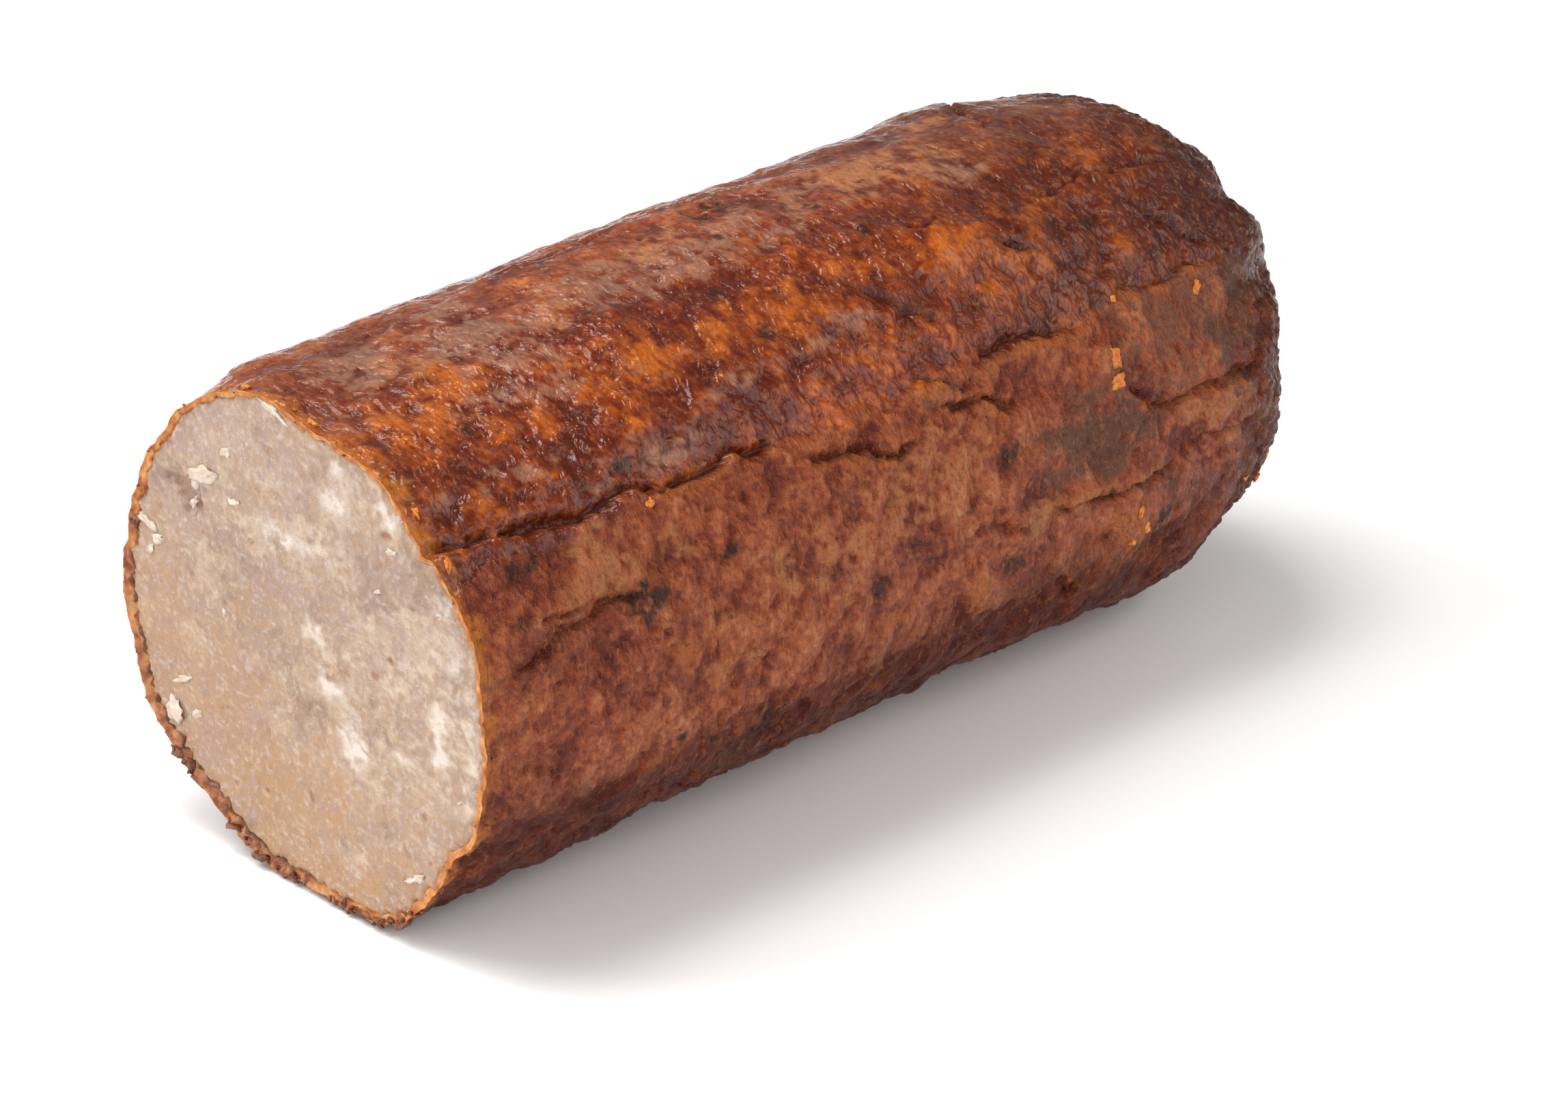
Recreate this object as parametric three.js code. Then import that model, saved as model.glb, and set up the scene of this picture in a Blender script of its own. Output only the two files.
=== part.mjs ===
// Cooked sausage, cut across at one end and rounded at the other. Units are mm, +Z is up.
// It lies along X: the flat cut face looks to -X, the rounded end to +X.
// The skin is a function of (s, t): s runs along the length from the cut face, and
// t is the angle round the section in degrees (0 = +Y, 90 = top, 180 = -Y, 270 = under).
import * as THREE from "three";

// ---- main sizes -------------------------------------------------------------------
const LENGTH = 238;          // cut face to rounded tip
const DOME_LENGTH = 44;      // the rounded end, measured along X
const DOME_POWER = 2.47;     // 2 would be an ellipsoid, more is blunter
const SECTIONS = [           // smooth sections the skin passes through
  { u: 0.0, halfWidth: 52.6, halfHeight: 48.9 },
  { u: 0.5, halfWidth: 52.8, halfHeight: 54.2 },
  { u: 1.0, halfWidth: 49.4, halfHeight: 53.1 },
];
const SETTLE = 1.0;          // how far the round underside has settled into a flat
const ARC = 0.92;            // mm of skin for each degree round the section

// ---- resolution -------------------------------------------------------------------
const NEAR_SIDE = { from: 66, to: 222, step: 2.8 };   // the side with the deep folds
const FAR_SIDE_STEP = 5.6;
const BODY_ROWS = 43;
const DOME_ROWS = 11;
const CAP_COLUMNS = 72;

// ---- relief: broad bumps and hollows, all in mm ------------------------------------
// s, t = centre; along, round = how far the bump reaches; h = height
const BUMPS = [
  // out-of-round shape of the cut end, fading along the length
  { s: 0, t: 4, along: 26, round: 16, h: 1.0 },
  { s: 0, t: 78, along: 16, round: 9, h: 1.9 },
  { s: -6, t: 104, along: 34, round: 15, h: -1.5 },
  { s: -8, t: 131, along: 30, round: 9, h: -2.2 },
  { s: -2, t: 157, along: 34, round: 12, h: 2.7 },
  { s: -5, t: 215, along: 30, round: 12, h: -2.2 },
  { s: -5, t: 246, along: 34, round: 12, h: 2.0 },
  { s: -5, t: 302, along: 34, round: 14, h: -1.4 },
  { s: -3, t: 330, along: 22, round: 9, h: 2.2 },
  // ridge, dip and cleft that show against the background along the top
  { s: 14, t: 61, along: 16, round: 12, h: 2.6 },
  { s: 36, t: 60, along: 13, round: 13, h: 1.5 },
  { s: 180, t: 60, along: 8, round: 16, h: 2.4 },
  { s: 196, t: 64, along: 5, round: 14, h: -0.8 },
  // pillow-like lumps and the membrane pockets between them
  { s: 138, t: 124, along: 11, round: 7, h: 1.9 },
  { s: 160, t: 124, along: 7, round: 6, h: 0.9 },
  { s: 116, t: 151, along: 12, round: 5, h: 0.9 },
  { s: 145, t: 150, along: 12, round: 3.5, h: 0.8 },
  { s: 58, t: 112, along: 8, round: 9, h: 0.9 },
  { s: 24, t: 97, along: 7, round: 9, h: 0.8 },
  { s: 104, t: 86, along: 5, round: 5, h: -1.7 },
  { s: 119, t: 98, along: 3, round: 3, h: -0.8 },
  { s: 45, t: 139, along: 3.5, round: 3, h: -1.2 },
  { s: 88, t: 125, along: 3, round: 3, h: -0.7 },
  { s: 41, t: 167, along: 5, round: 3, h: -1.2 },
  { s: 15, t: 193, along: 4, round: 9, h: 1.1 },
  { s: 139, t: 185, along: 7, round: 5, h: 1.2 },
  { s: 123, t: 193, along: 8, round: 4, h: 1.2 },
  { s: 134, t: 192, along: 4, round: 3, h: -1.3 },
  { s: 154, t: 183, along: 10, round: 2.4, h: 1.1 },
  { s: 172, t: 200, along: 6, round: 8, h: 1.4 },
  { s: 163, t: 197, along: 2.5, round: 3.5, h: -1.4 },
  { s: 179, t: 204, along: 4, round: 6, h: -1.2 },
  { s: 178, t: 162, along: 12, round: 6, h: 1.3 },
  { s: 168, t: 174, along: 16, round: 7, h: -0.9 },
  { s: 194, t: 176, along: 10, round: 5, h: 1.3 },
  { s: 138, t: 209, along: 15, round: 5, h: -1.0 },
  { s: 138, t: 236, along: 22, round: 12, h: -1.4 },
  // dents and knuckles of the rounded end
  { s: 218, t: 141, along: 8, round: 7, h: 2.6 },
  { s: 214, t: 151, along: 7, round: 5, h: -1.9 },
  { s: 216, t: 163, along: 8, round: 7, h: 0.9 },
  { s: 221, t: 173, along: 6, round: 6, h: -1.2 },
  { s: 211, t: 220, along: 9, round: 8, h: -3.0 },
  { s: 217, t: 194, along: 8, round: 6, h: 0.6 },
  { s: 205, t: 84, along: 10, round: 12, h: -0.7 },
  { s: 221, t: 117, along: 7, round: 6, h: 1.2 },
  { s: 222, t: 128, along: 6, round: 5, h: -1.3 },
  { s: 210, t: 20, along: 14, round: 22, h: 1.3 },
  { s: 226, t: 330, along: 9, round: 24, h: -1.5 },
];

// ---- relief: folds of the skin ------------------------------------------------------
// path = corners [s, t]; depth = how deep the crease is; width = its half width;
// lip = how far the skin on the side of greater t stands proud of the other side
const FOLDS = [
  {
    path: [[-2, 135], [12, 138], [24, 141], [34, 143.5], [42, 142], [48, 146], [58, 146], [67, 144.5],
      [80, 147.5]],
    depth: 2.0, width: 1.5, lip: 1.7,
  },
  { path: [[78, 151], [88, 153.5], [97, 155.5], [104, 158], [112, 157]], depth: 1.6, width: 1.4, lip: 0.9 },
  { path: [[112, 153], [126, 154.5], [134, 158], [142, 158]], depth: 1.5, width: 1.4, lip: 0.8 },
  { path: [[108, 147.5], [114, 146.5], [124, 150.5], [131, 150.5]], depth: 0.9, width: 1.1, lip: 0.7 },
  { path: [[126, 149], [137, 146], [148, 147], [159, 148.5]], depth: 1.5, width: 1.3, lip: 1.2 },
  { path: [[86, 136], [91, 133.7], [96, 133.7], [101, 136]], depth: 0.9, width: 1.1, lip: 0.8 },
  { path: [[110, 121], [116, 128], [121, 134], [126, 141]], depth: 1.2, width: 1.2, lip: -0.9 },
  {
    path: [[130, 116], [141, 116], [148, 120], [151, 127], [158, 132], [163, 135], [168, 145]],
    depth: 1.7, width: 1.4, lip: 1.3,
  },
  {
    path: [[163, 117], [170, 119], [180, 116.5], [190, 118.5], [200, 119], [207, 122]],
    depth: 1.2, width: 1.3, lip: 0.9,
  },
  { path: [[187, 124], [190, 131], [196, 138], [202, 142]], depth: 1.3, width: 1.3, lip: -0.8 },
  { path: [[168, 147], [174, 144.5], [190, 145.5], [199, 143]], depth: 1.0, width: 1.2, lip: 1.0 },
  { path: [[174, 96], [176, 90], [178, 82], [184, 72], [192, 62]], depth: 2.0, width: 1.8, lip: -0.6 },
  { path: [[58, 75], [72, 75.5], [92, 77]], depth: 0.9, width: 1.6, lip: 0.5 },
  { path: [[12, 157.5], [20, 159], [27, 160]], depth: 1.2, width: 1.2, lip: -0.5 },
  { path: [[4, 167], [9, 165], [20, 162], [31, 161], [40, 164]], depth: 1.1, width: 1.4, lip: 0.5 },
  { path: [[8, 185], [12, 189], [17, 192], [14, 198]], depth: 0.8, width: 1.1, lip: 0.4 },
  { path: [[118, 180], [128, 182], [136, 186], [142, 185]], depth: 0.9, width: 1.2, lip: 0.5 },
  {
    path: [[118, 197], [124, 202], [136, 203.5], [150, 203.5], [156, 208], [158, 215]],
    depth: 0.7, width: 1.3, lip: -1.4,
  },
  {
    path: [[142, 184], [152, 185.5], [163, 187.5], [172, 187], [178, 184.5], [184, 185]],
    depth: 1.8, width: 1.4, lip: -0.9,
  },
  {
    path: [[166, 161], [170, 168], [178, 171.5], [192, 170.5], [204, 170], [212, 163]],
    depth: 1.6, width: 1.4, lip: 0.5,
  },
  { path: [[178, 185], [190, 181], [204, 182], [214, 186]], depth: 0.9, width: 1.4, lip: -0.5 },
];
const LIP_REACH = 6;         // mm over which a lip sinks back into the skin
const FOLD_FADE = 7;         // mm over which a fold dies out at its two ends
const CREASE_SPREAD = 1.5;   // creases are drawn this much wider than the real ones

// ---- relief: uneven skin all over ---------------------------------------------------
const LUMPS = [
  { size: 30, height: 1.1 },
  { size: 13, height: 0.7 },
];

// ---- relief of the cut face ----------------------------------------------------------
const CAP_CENTRE_Z = 49;
const HOLLOW = { y: 32, z: 72, radius: 4.2, depth: 2.6 };
const SPLIT = { y: 24, z: 12, along: 16, across: 2.2, slope: 0.75, depth: 1.6 };
const PEEL = { y: 45.5, z: 62, along: 6, across: 1.8, depth: 1.6 };
const MEAT_RECESS = 0.5;

const rad = (deg) => (deg * Math.PI) / 180;
const gauss = (x) => Math.exp(-x * x);

function cellValue(i, j, k) {
  const v = Math.sin(i * 127.1 + j * 311.7 + k * 74.7) * 43758.5453;
  return (v - Math.floor(v)) * 2 - 1;
}

// smooth lumps between -1 and 1, the same on every run
function lumpiness(x, y, z) {
  const [i, j, k] = [Math.floor(x), Math.floor(y), Math.floor(z)];
  const ease = (f) => f * f * (3 - 2 * f);
  const [fx, fy, fz] = [ease(x - i), ease(y - j), ease(z - k)];
  let sum = 0;
  for (let n = 0; n < 8; n += 1) {
    const [a, b, c] = [n & 1, (n >> 1) & 1, (n >> 2) & 1];
    const weight = (a ? fx : 1 - fx) * (b ? fy : 1 - fy) * (c ? fz : 1 - fz);
    sum += weight * cellValue(i + a, j + b, k + c);
  }
  return sum;
}

// one smooth value through the three sections
function through(u, key) {
  const [p, q, r] = SECTIONS.map((section) => section[key]);
  return p * (1 - u) * (1 - 2 * u) + q * 4 * u * (1 - u) + r * u * (2 * u - 1);
}

function smallestTurn(deg) {
  return ((deg + 540) % 360) - 180;
}

function bumpHeight(s, t) {
  let h = 0;
  for (const b of BUMPS) {
    h += b.h * gauss((s - b.s) / b.along) * gauss(smallestTurn(t - b.t) / b.round);
  }
  return h;
}

// nearest distance to a fold in mm, on which side of it the point lies, and how far
// that nearest place is from the closer end of the fold
function nearestOnPath(path, s, t) {
  let best = { distance: Infinity, side: 1, along: 0 };
  let passed = 0;
  for (let n = 0; n + 1 < path.length; n += 1) {
    const [s0, t0] = path[n];
    const [ds, dt] = [path[n + 1][0] - s0, (path[n + 1][1] - t0) * ARC];
    const [ps, pt] = [s - s0, (t - t0) * ARC];
    const reach = Math.hypot(ds, dt);
    const f = Math.min(1, Math.max(0, (ps * ds + pt * dt) / (reach * reach)));
    const distance = Math.hypot(ps - f * ds, pt - f * dt);
    if (distance < best.distance) {
      best = { distance, side: Math.sign(ds * pt - dt * ps) || 1, along: passed + f * reach };
    }
    passed += reach;
  }
  return { ...best, toEnd: Math.min(best.along, passed - best.along) };
}

function foldHeight(s, t) {
  let h = 0;
  for (const fold of FOLDS) {
    const { distance, side, toEnd } = nearestOnPath(fold.path, s, t);
    if (distance > 3 * LIP_REACH) continue;
    const f = Math.min(1, toEnd / FOLD_FADE);
    const fade = f * f * (3 - 2 * f);
    const crease = gauss(distance / (fold.width * CREASE_SPREAD));
    const proud = side * Math.sign(fold.lip) > 0 ? Math.abs(fold.lip) : 0;
    h += fade * (proud * gauss(distance / LIP_REACH) * (1 - crease) - fold.depth * crease);
  }
  return h;
}

function lumpHeight(x, y, z) {
  let h = 0;
  for (const { size, height } of LUMPS) h += height * lumpiness(x / size, y / size, z / size);
  return h;
}

// point of the skin; k runs from 0 where the dome starts to 1 at the tip
function skinPoint(s, t, turn) {
  const u = s / LENGTH;
  const [a, b] = [through(u, "halfWidth"), through(u, "halfHeight")];
  const shrink = Math.pow(Math.cos(turn), 2 / DOME_POWER);
  const [c, d] = [Math.cos(rad(t)), Math.sin(rad(t))];
  const base = new THREE.Vector3(s, a * shrink * c, b - SETTLE + b * shrink * d);
  const k = Math.pow(Math.sin(turn), 2 / DOME_POWER);
  const slope = turn > 0 ? Math.pow(k, DOME_POWER - 1) / DOME_LENGTH : 0;
  const round = Math.pow(shrink, DOME_POWER - 1);
  const out = new THREE.Vector3(slope, (round * c) / a, (round * d) / b).normalize();
  const tipFade = Math.min(1, shrink / 0.35);
  const relief = (bumpHeight(s, t) + foldHeight(s, t)) * tipFade + lumpHeight(base.x, base.y, base.z);
  base.addScaledVector(out, relief);
  if (s <= 0) base.x = 0;
  base.z = Math.max(0, base.z);
  return base;
}

// ---- rings and the triangles between them ---------------------------------------------
function columnAngles() {
  const angles = [];
  for (let t = NEAR_SIDE.from; t < NEAR_SIDE.to; t += NEAR_SIDE.step) angles.push(t);
  const rest = NEAR_SIDE.from + 360 - NEAR_SIDE.to;
  const count = Math.round(rest / FAR_SIDE_STEP);
  for (let n = 0; n < count; n += 1) angles.push(NEAR_SIDE.to + (rest * n) / count);
  return angles;
}

class Surface {
  constructor() {
    this.positions = [];
    this.index = [];
  }

  ring(angles, pointAt) {
    return angles.map((t) => {
      const p = pointAt(t);
      this.positions.push(p.x, p.y, p.z);
      return { t, id: this.positions.length / 3 - 1 };
    });
  }

  // joins ring a to ring b; both run the same way round and may differ in count
  join(a, b) {
    const [start, turnA, turnB] = [a[0].t, [...a, a[0]], [...b, b[0]]];
    const angle = (ring, n) => ring[n % ring.length].t - start + (n >= ring.length ? 360 : 0);
    let [i, j] = [0, 0];
    while (i < a.length || j < b.length) {
      const stepA = i < a.length && (j >= b.length || angle(a, i + 1) <= angle(b, j + 1));
      if (stepA) {
        this.index.push(turnA[i].id, turnA[i + 1].id, turnB[j].id);
        i += 1;
      } else {
        this.index.push(turnA[i].id, turnB[j + 1].id, turnB[j].id);
        j += 1;
      }
    }
  }

  // closes a ring with a point
  close(ring, point) {
    this.positions.push(point.x, point.y, point.z);
    const centre = this.positions.length / 3 - 1;
    ring.forEach((corner, n) => {
      this.index.push(corner.id, ring[(n + 1) % ring.length].id, centre);
    });
  }

  flip(from) {
    for (let n = from; n < this.index.length; n += 3) {
      [this.index[n + 1], this.index[n + 2]] = [this.index[n + 2], this.index[n + 1]];
    }
  }
}

function everyOther(angles, step) {
  return angles.filter((_, n) => n % step === 0);
}

function addSkin(surface, angles) {
  const bodyEnd = LENGTH - DOME_LENGTH;
  const firstRows = [0, 1.6];
  const rows = firstRows.map((s) => ({ s, turn: 0, angles }));
  for (let n = 1; n <= BODY_ROWS; n += 1) {
    rows.push({ s: 1.6 + ((bodyEnd - 1.6) * n) / BODY_ROWS, turn: 0, angles });
  }
  for (let n = 1; n < DOME_ROWS; n += 1) {
    const turn = (Math.PI / 2) * (n / DOME_ROWS);
    const s = bodyEnd + DOME_LENGTH * Math.pow(Math.sin(turn), 2 / DOME_POWER);
    const step = n > DOME_ROWS - 3 ? 4 : n > DOME_ROWS - 6 ? 2 : 1;
    rows.push({ s, turn, angles: everyOther(angles, step) });
  }
  const rings = rows.map((row) => surface.ring(row.angles, (t) => skinPoint(row.s, t, row.turn)));
  for (let n = 0; n + 1 < rings.length; n += 1) surface.join(rings[n], rings[n + 1]);
  surface.close(rings[rings.length - 1], skinPoint(LENGTH, 0, Math.PI / 2));
  return rings[0];
}

function capRelief(y, z) {
  const hollow = HOLLOW.depth * gauss(Math.hypot(y - HOLLOW.y, z - HOLLOW.z) / HOLLOW.radius);
  const across = z - SPLIT.z - (y - SPLIT.y) * SPLIT.slope;
  const split = SPLIT.depth * gauss(across / SPLIT.across) * gauss((y - SPLIT.y) / SPLIT.along);
  const peel = PEEL.depth * gauss((y - PEEL.y) / PEEL.across) * gauss((z - PEEL.z) / PEEL.along);
  return hollow + split + peel + 0.25 * (1 + lumpiness(3, y / 9, z / 9));
}

function addCutFace(surface, rim) {
  const rimPoint = (t) => skinPoint(0, t, 0);
  const angles = Array.from({ length: CAP_COLUMNS }, (_, n) => 66 + (360 * n) / CAP_COLUMNS);
  const shares = [0.975, 0.92, 0.86, 0.8, 0.74, 0.66, 0.56, 0.44, 0.3, 0.14];
  const rings = shares.map((share, n) => {
    const step = n > 7 ? 4 : n > 5 ? 2 : 1;
    return surface.ring(everyOther(angles, step), (t) => {
      const edge = rimPoint(t);
      const y = edge.y * share;
      const z = CAP_CENTRE_Z + (edge.z - CAP_CENTRE_Z) * share;
      return new THREE.Vector3(MEAT_RECESS + capRelief(y, z), y, z);
    });
  });
  const from = surface.index.length;
  surface.join(rim, rings[0]);
  for (let n = 0; n + 1 < rings.length; n += 1) surface.join(rings[n], rings[n + 1]);
  surface.close(rings[rings.length - 1], new THREE.Vector3(MEAT_RECESS, 0, CAP_CENTRE_Z));
  return from;
}

function buildSausage() {
  const surface = new Surface();
  const rim = addSkin(surface, columnAngles());
  const capStart = addCutFace(surface, rim);
  // skin rings run -X to +X and face out as they are; the rings of the cut face run inward
  surface.flip(capStart);

  const geometry = new THREE.BufferGeometry();
  geometry.setAttribute("position", new THREE.Float32BufferAttribute(surface.positions, 3));
  geometry.setIndex(surface.index);
  geometry.computeBoundingBox();
  const { min, max } = geometry.boundingBox;
  geometry.translate(-(min.x + max.x) / 2, -(min.y + max.y) / 2, -min.z);
  geometry.computeVertexNormals();

  const crust = new THREE.MeshStandardMaterial({ color: 0x7a3518, roughness: 0.45 });
  const mesh = new THREE.Mesh(geometry, crust);
  mesh.name = "sausage";
  return mesh;
}

const part = new THREE.Group();
part.name = "cooked_sausage";
part.add(buildSausage());

export default part;
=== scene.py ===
"""Looks of the cooked sausage: a browned, folded, partly glazed skin and a pale cut face.

Shape values are in mm and degrees, as in the part's source, and turn into metres when a mesh
is made. The skin is a function of (s, t): s runs along the length from the cut face, and t is
the angle round the section (0 = +Y, 90 = top, 180 = -Y, 270 = under).
"""
import math

import bmesh
import bpy
import numpy as np
from mathutils import Matrix, Vector, noise


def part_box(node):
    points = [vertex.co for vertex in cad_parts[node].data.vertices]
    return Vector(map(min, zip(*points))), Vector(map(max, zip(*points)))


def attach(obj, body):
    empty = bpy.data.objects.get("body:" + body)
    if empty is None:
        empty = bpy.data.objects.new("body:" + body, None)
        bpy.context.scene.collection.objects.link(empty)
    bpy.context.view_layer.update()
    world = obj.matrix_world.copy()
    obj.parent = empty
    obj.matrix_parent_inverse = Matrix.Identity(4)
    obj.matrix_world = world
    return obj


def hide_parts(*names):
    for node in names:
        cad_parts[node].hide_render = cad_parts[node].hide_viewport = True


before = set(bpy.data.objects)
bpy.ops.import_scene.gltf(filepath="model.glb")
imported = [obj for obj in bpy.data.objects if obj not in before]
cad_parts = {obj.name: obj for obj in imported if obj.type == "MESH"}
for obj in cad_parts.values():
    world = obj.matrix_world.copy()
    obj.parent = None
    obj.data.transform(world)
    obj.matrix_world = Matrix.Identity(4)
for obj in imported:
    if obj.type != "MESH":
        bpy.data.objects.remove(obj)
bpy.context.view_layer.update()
MM = 0.001

# ---- camera ----
CAMERA_AT = (-0.5471, -0.5698, 0.3904)
CAMERA_LOOKS_AT = (-0.052, -0.0561, 0.0665)
CAMERA_LENS = 100

# ---- light (name, place and size in metres, power in watts, tint) ----
LIGHTS = (
    ("overhead", (-0.26, 0.26, 1.6), (0.62, 0.62), 12.4, (1, 1, 1)),
    ("front_card", (0.46, -0.9, 0.7), (1.1, 0.8), 5.2, (1, 0.91, 0.86)),
    ("left_box", (-0.55, 0.62, 0.95), (0.7, 0.5), 7.4, (1, 1, 1)),
)
LIGHTS_AIM = (0, 0, 0.05)
# the surroundings: the way to the bright side, and how bright each part is
BRIGHT_WAY = (-0.96, -0.28, 0)
FRONT_LEVEL = 1.3
BACK_LEVEL = 0.27
HORIZON_LEVEL = 0.75
TOP_LEVEL = 0.3

# ---- stage ----
FLOOR_REACH = 6.0
FLOOR_HEIGHT = -0.0002
FLOOR_COLOUR = (0.96, 0.96, 0.96)

# ---- main sizes, repeated from the part's source ----
LENGTH = 238
DOME_LENGTH = 44
DOME_POWER = 2.47
HALF_WIDTHS = (52.6, 52.8, 49.4)  # at the cut, half way and at the tip
HALF_HEIGHTS = (48.9, 54.2, 53.1)
SETTLE = 1
ARC = 0.92  # mm of skin for each degree round the section
LIP_REACH = 6
FOLD_FADE = 7

# ---- how fine the skin mesh is ----
NEAR_FROM, NEAR_TO, NEAR_COLUMNS = 62, 226, 184  # t of the side that shows
FAR_COLUMNS = 86
FAR_WIDENING = 0.6  # columns lie further apart in the middle of the far side
BODY_ROWS = 268
DOME_ROWS = 84
RINGS_UV = 0.985  # share of the UV map that is left when the tip has its part

# ---- relief: broad bumps (s, t, reach along, reach round, height) ----
BUMPS = (
    # out-of-round shape of the cut end
    (0, 4, 26, 16, 1), (0, 78, 16, 9, 1.9), (-6, 104, 34, 15, -1.5), (-8, 131, 30, 9, -2.2),
    (-2, 157, 34, 12, 2.7), (-5, 215, 30, 12, -2.2), (-5, 246, 34, 12, 2), (-5, 302, 34, 14, -1.4),
    (-3, 330, 22, 9, 2.2),
    # ridge, dip and cleft along the top
    (14, 61, 16, 12, 2.6), (36, 60, 13, 13, 1.5), (180, 60, 8, 16, 2.4), (196, 64, 5, 14, -0.8),
    # pillow-like lumps and the pockets between them
    (138, 124, 11, 7, 1.9), (160, 124, 7, 6, 0.9), (116, 151, 12, 5, 0.9), (145, 150, 12, 3.5, 0.8),
    (58, 112, 8, 9, 0.9), (24, 97, 7, 9, 0.8), (104, 86, 5, 5, -1.7), (119, 98, 3, 3, -0.8),
    (45, 139, 3.5, 3, -1.2), (88, 125, 3, 3, -0.7), (41, 167, 5, 3, -1.2), (15, 193, 4, 9, 1.1),
    (139, 185, 7, 5, 1.2), (123, 193, 8, 4, 1.2), (134, 192, 4, 3, -1.3), (154, 183, 10, 2.4, 1.1),
    (172, 200, 6, 8, 1.4), (163, 197, 2.5, 3.5, -1.4), (179, 204, 4, 6, -1.2), (178, 162, 12, 6, 1.3),
    (168, 174, 16, 7, -0.9), (194, 176, 10, 5, 1.3), (138, 209, 15, 5, -1), (138, 236, 22, 12, -1.4),
    # dents and knuckles of the rounded end
    (218, 141, 8, 7, 2.6), (214, 151, 7, 5, -1.9), (216, 163, 8, 7, 0.9), (221, 173, 6, 6, -1.2),
    (211, 220, 9, 8, -3), (217, 194, 8, 6, 0.6), (205, 84, 10, 12, -0.7), (221, 117, 7, 6, 1.2),
    (222, 128, 6, 5, -1.3), (210, 20, 14, 22, 1.3), (226, 330, 9, 24, -1.5),
)

# ---- relief: folds (corners [s, t], crease depth, half width, lip on the side of greater t) ----
FOLDS = (
    (((-2, 135), (12, 138), (24, 141), (34, 143.5), (42, 142), (48, 146), (58, 146), (67, 144.5),
     (80, 147.5)), 2, 1.5, 1.7),
    (((78, 151), (88, 153.5), (97, 155.5), (104, 158), (112, 157)), 1.6, 1.4, 0.9),
    (((112, 153), (126, 154.5), (134, 158), (142, 158)), 1.5, 1.4, 0.8),
    (((108, 147.5), (114, 146.5), (124, 150.5), (131, 150.5)), 0.9, 1.1, 0.7),
    (((126, 149), (137, 146), (148, 147), (159, 148.5)), 1.5, 1.3, 1.2),
    (((86, 136), (91, 133.7), (96, 133.7), (101, 136)), 0.9, 1.1, 0.8),
    (((110, 121), (116, 128), (121, 134), (126, 141)), 1.2, 1.2, -0.9),
    (((130, 116), (141, 116), (148, 120), (151, 127), (158, 132), (163, 135), (168, 145)), 1.7, 1.4,
     1.3),
    (((163, 117), (170, 119), (180, 116.5), (190, 118.5), (200, 119), (207, 122)), 1.2, 1.3, 0.9),
    (((187, 124), (190, 131), (196, 138), (202, 142)), 1.3, 1.3, -0.8),
    (((168, 147), (174, 144.5), (190, 145.5), (199, 143)), 1, 1.2, 1),
    (((174, 96), (176, 90), (178, 82), (184, 72), (192, 62)), 2, 1.8, -0.6),
    (((58, 75), (72, 75.5), (92, 77)), 0.9, 1.6, 0.5),
    (((12, 157.5), (20, 159), (27, 160)), 1.2, 1.2, -0.5),
    (((4, 167), (9, 165), (20, 162), (31, 161), (40, 164)), 1.1, 1.4, 0.5),
    (((8, 185), (12, 189), (17, 192), (14, 198)), 0.8, 1.1, 0.4),
    (((118, 180), (128, 182), (136, 186), (142, 185)), 0.9, 1.2, 0.5),
    (((118, 197), (124, 202), (136, 203.5), (150, 203.5), (156, 208), (158, 215)), 0.7, 1.3, -1.4),
    (((142, 184), (152, 185.5), (163, 187.5), (172, 187), (178, 184.5), (184, 185)), 1.8, 1.4, -0.9),
    (((166, 161), (170, 168), (178, 171.5), (192, 170.5), (204, 170), (212, 163)), 1.6, 1.4, 0.5),
    (((178, 185), (190, 181), (204, 182), (214, 186)), 0.9, 1.4, -0.5),
)
CREASE_SHARPEN = 0.5  # creases in the real skin are tighter than in the solid
CREASE_DEEPEN = 1.1

# ---- relief: uneven skin all over (size of a lump, its height) ----
LUMPS = ((30, 1.1), (13, 0.7))
SLANT = math.radians(24)  # the ripples near the cut run at this slant
SKIN_BUMP = 0.9 * MM  # depth of the finest relief, made in the material
CRUMBLY_BUMP = 0.5 * MM

# ---- zones of the skin, each from where it is 0 to where it is full ----
GLAZE_FADE = (1.6, -1.2)  # across the lower edge of the glaze, in degrees
GLAZE_FAR_T = (34, 50)
UPPER_T = (134, 122)
SATIN_TOP_T = (112, 96)
PEBBLY_S, PEBBLY_T = (140, 112), (60, 80)
NEAR_CUT_S = (64, 44)
FAR_END_S = (190, 212)
DARK_TIP_S = (190, 214)
UNDER_T, UNDER_FAR_T = (193, 209), (310, 250)
RIM_S = (2.6, 0.2)

# ---- colour patches of the skin (s, t, reach along, reach round, strength) ----
ORANGE = (
    (28, 104, 9, 7, 1), (10, 104, 9, 6, 0.6), (5, 116, 6, 5, 0.8), (14, 112, 8, 3, 0.5),
    (33, 121, 11, 5, 0.8), (6, 139, 6, 3, 1), (55, 118, 10, 7, 0.9), (66, 122, 9, 5, 0.7),
    (52, 107, 5, 5, 0.5), (85, 121, 10, 5, 1), (97, 126, 9, 6, 0.8), (104, 122, 8, 5, 0.7),
    (139, 124, 12, 7, 1.2), (118, 121, 7, 3, 0.8), (160, 122, 9, 5, 0.9), (150, 133, 9, 4, 0.7),
    (116, 148, 8, 2.5, 0.8), (97, 137, 8, 3, 0.8), (60, 145, 14, 1.4, 0.7), (146, 148, 11, 2.4, 0.7),
    (178, 147, 14, 1.6, 0.7), (45, 178, 12, 6, 0.35), (100, 193, 12, 3, 0.6), (124, 194, 9, 3, 0.8),
    (60, 190, 14, 4, 0.4), (154, 184, 10, 2.4, 0.6), (172, 201, 5, 7, 0.8), (168, 194, 4, 3, 0.7),
    (185, 113, 10, 4, 0.5), (136, 103, 8, 4, 0.5), (90, 95, 16, 6, 0.3),
)
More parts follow.
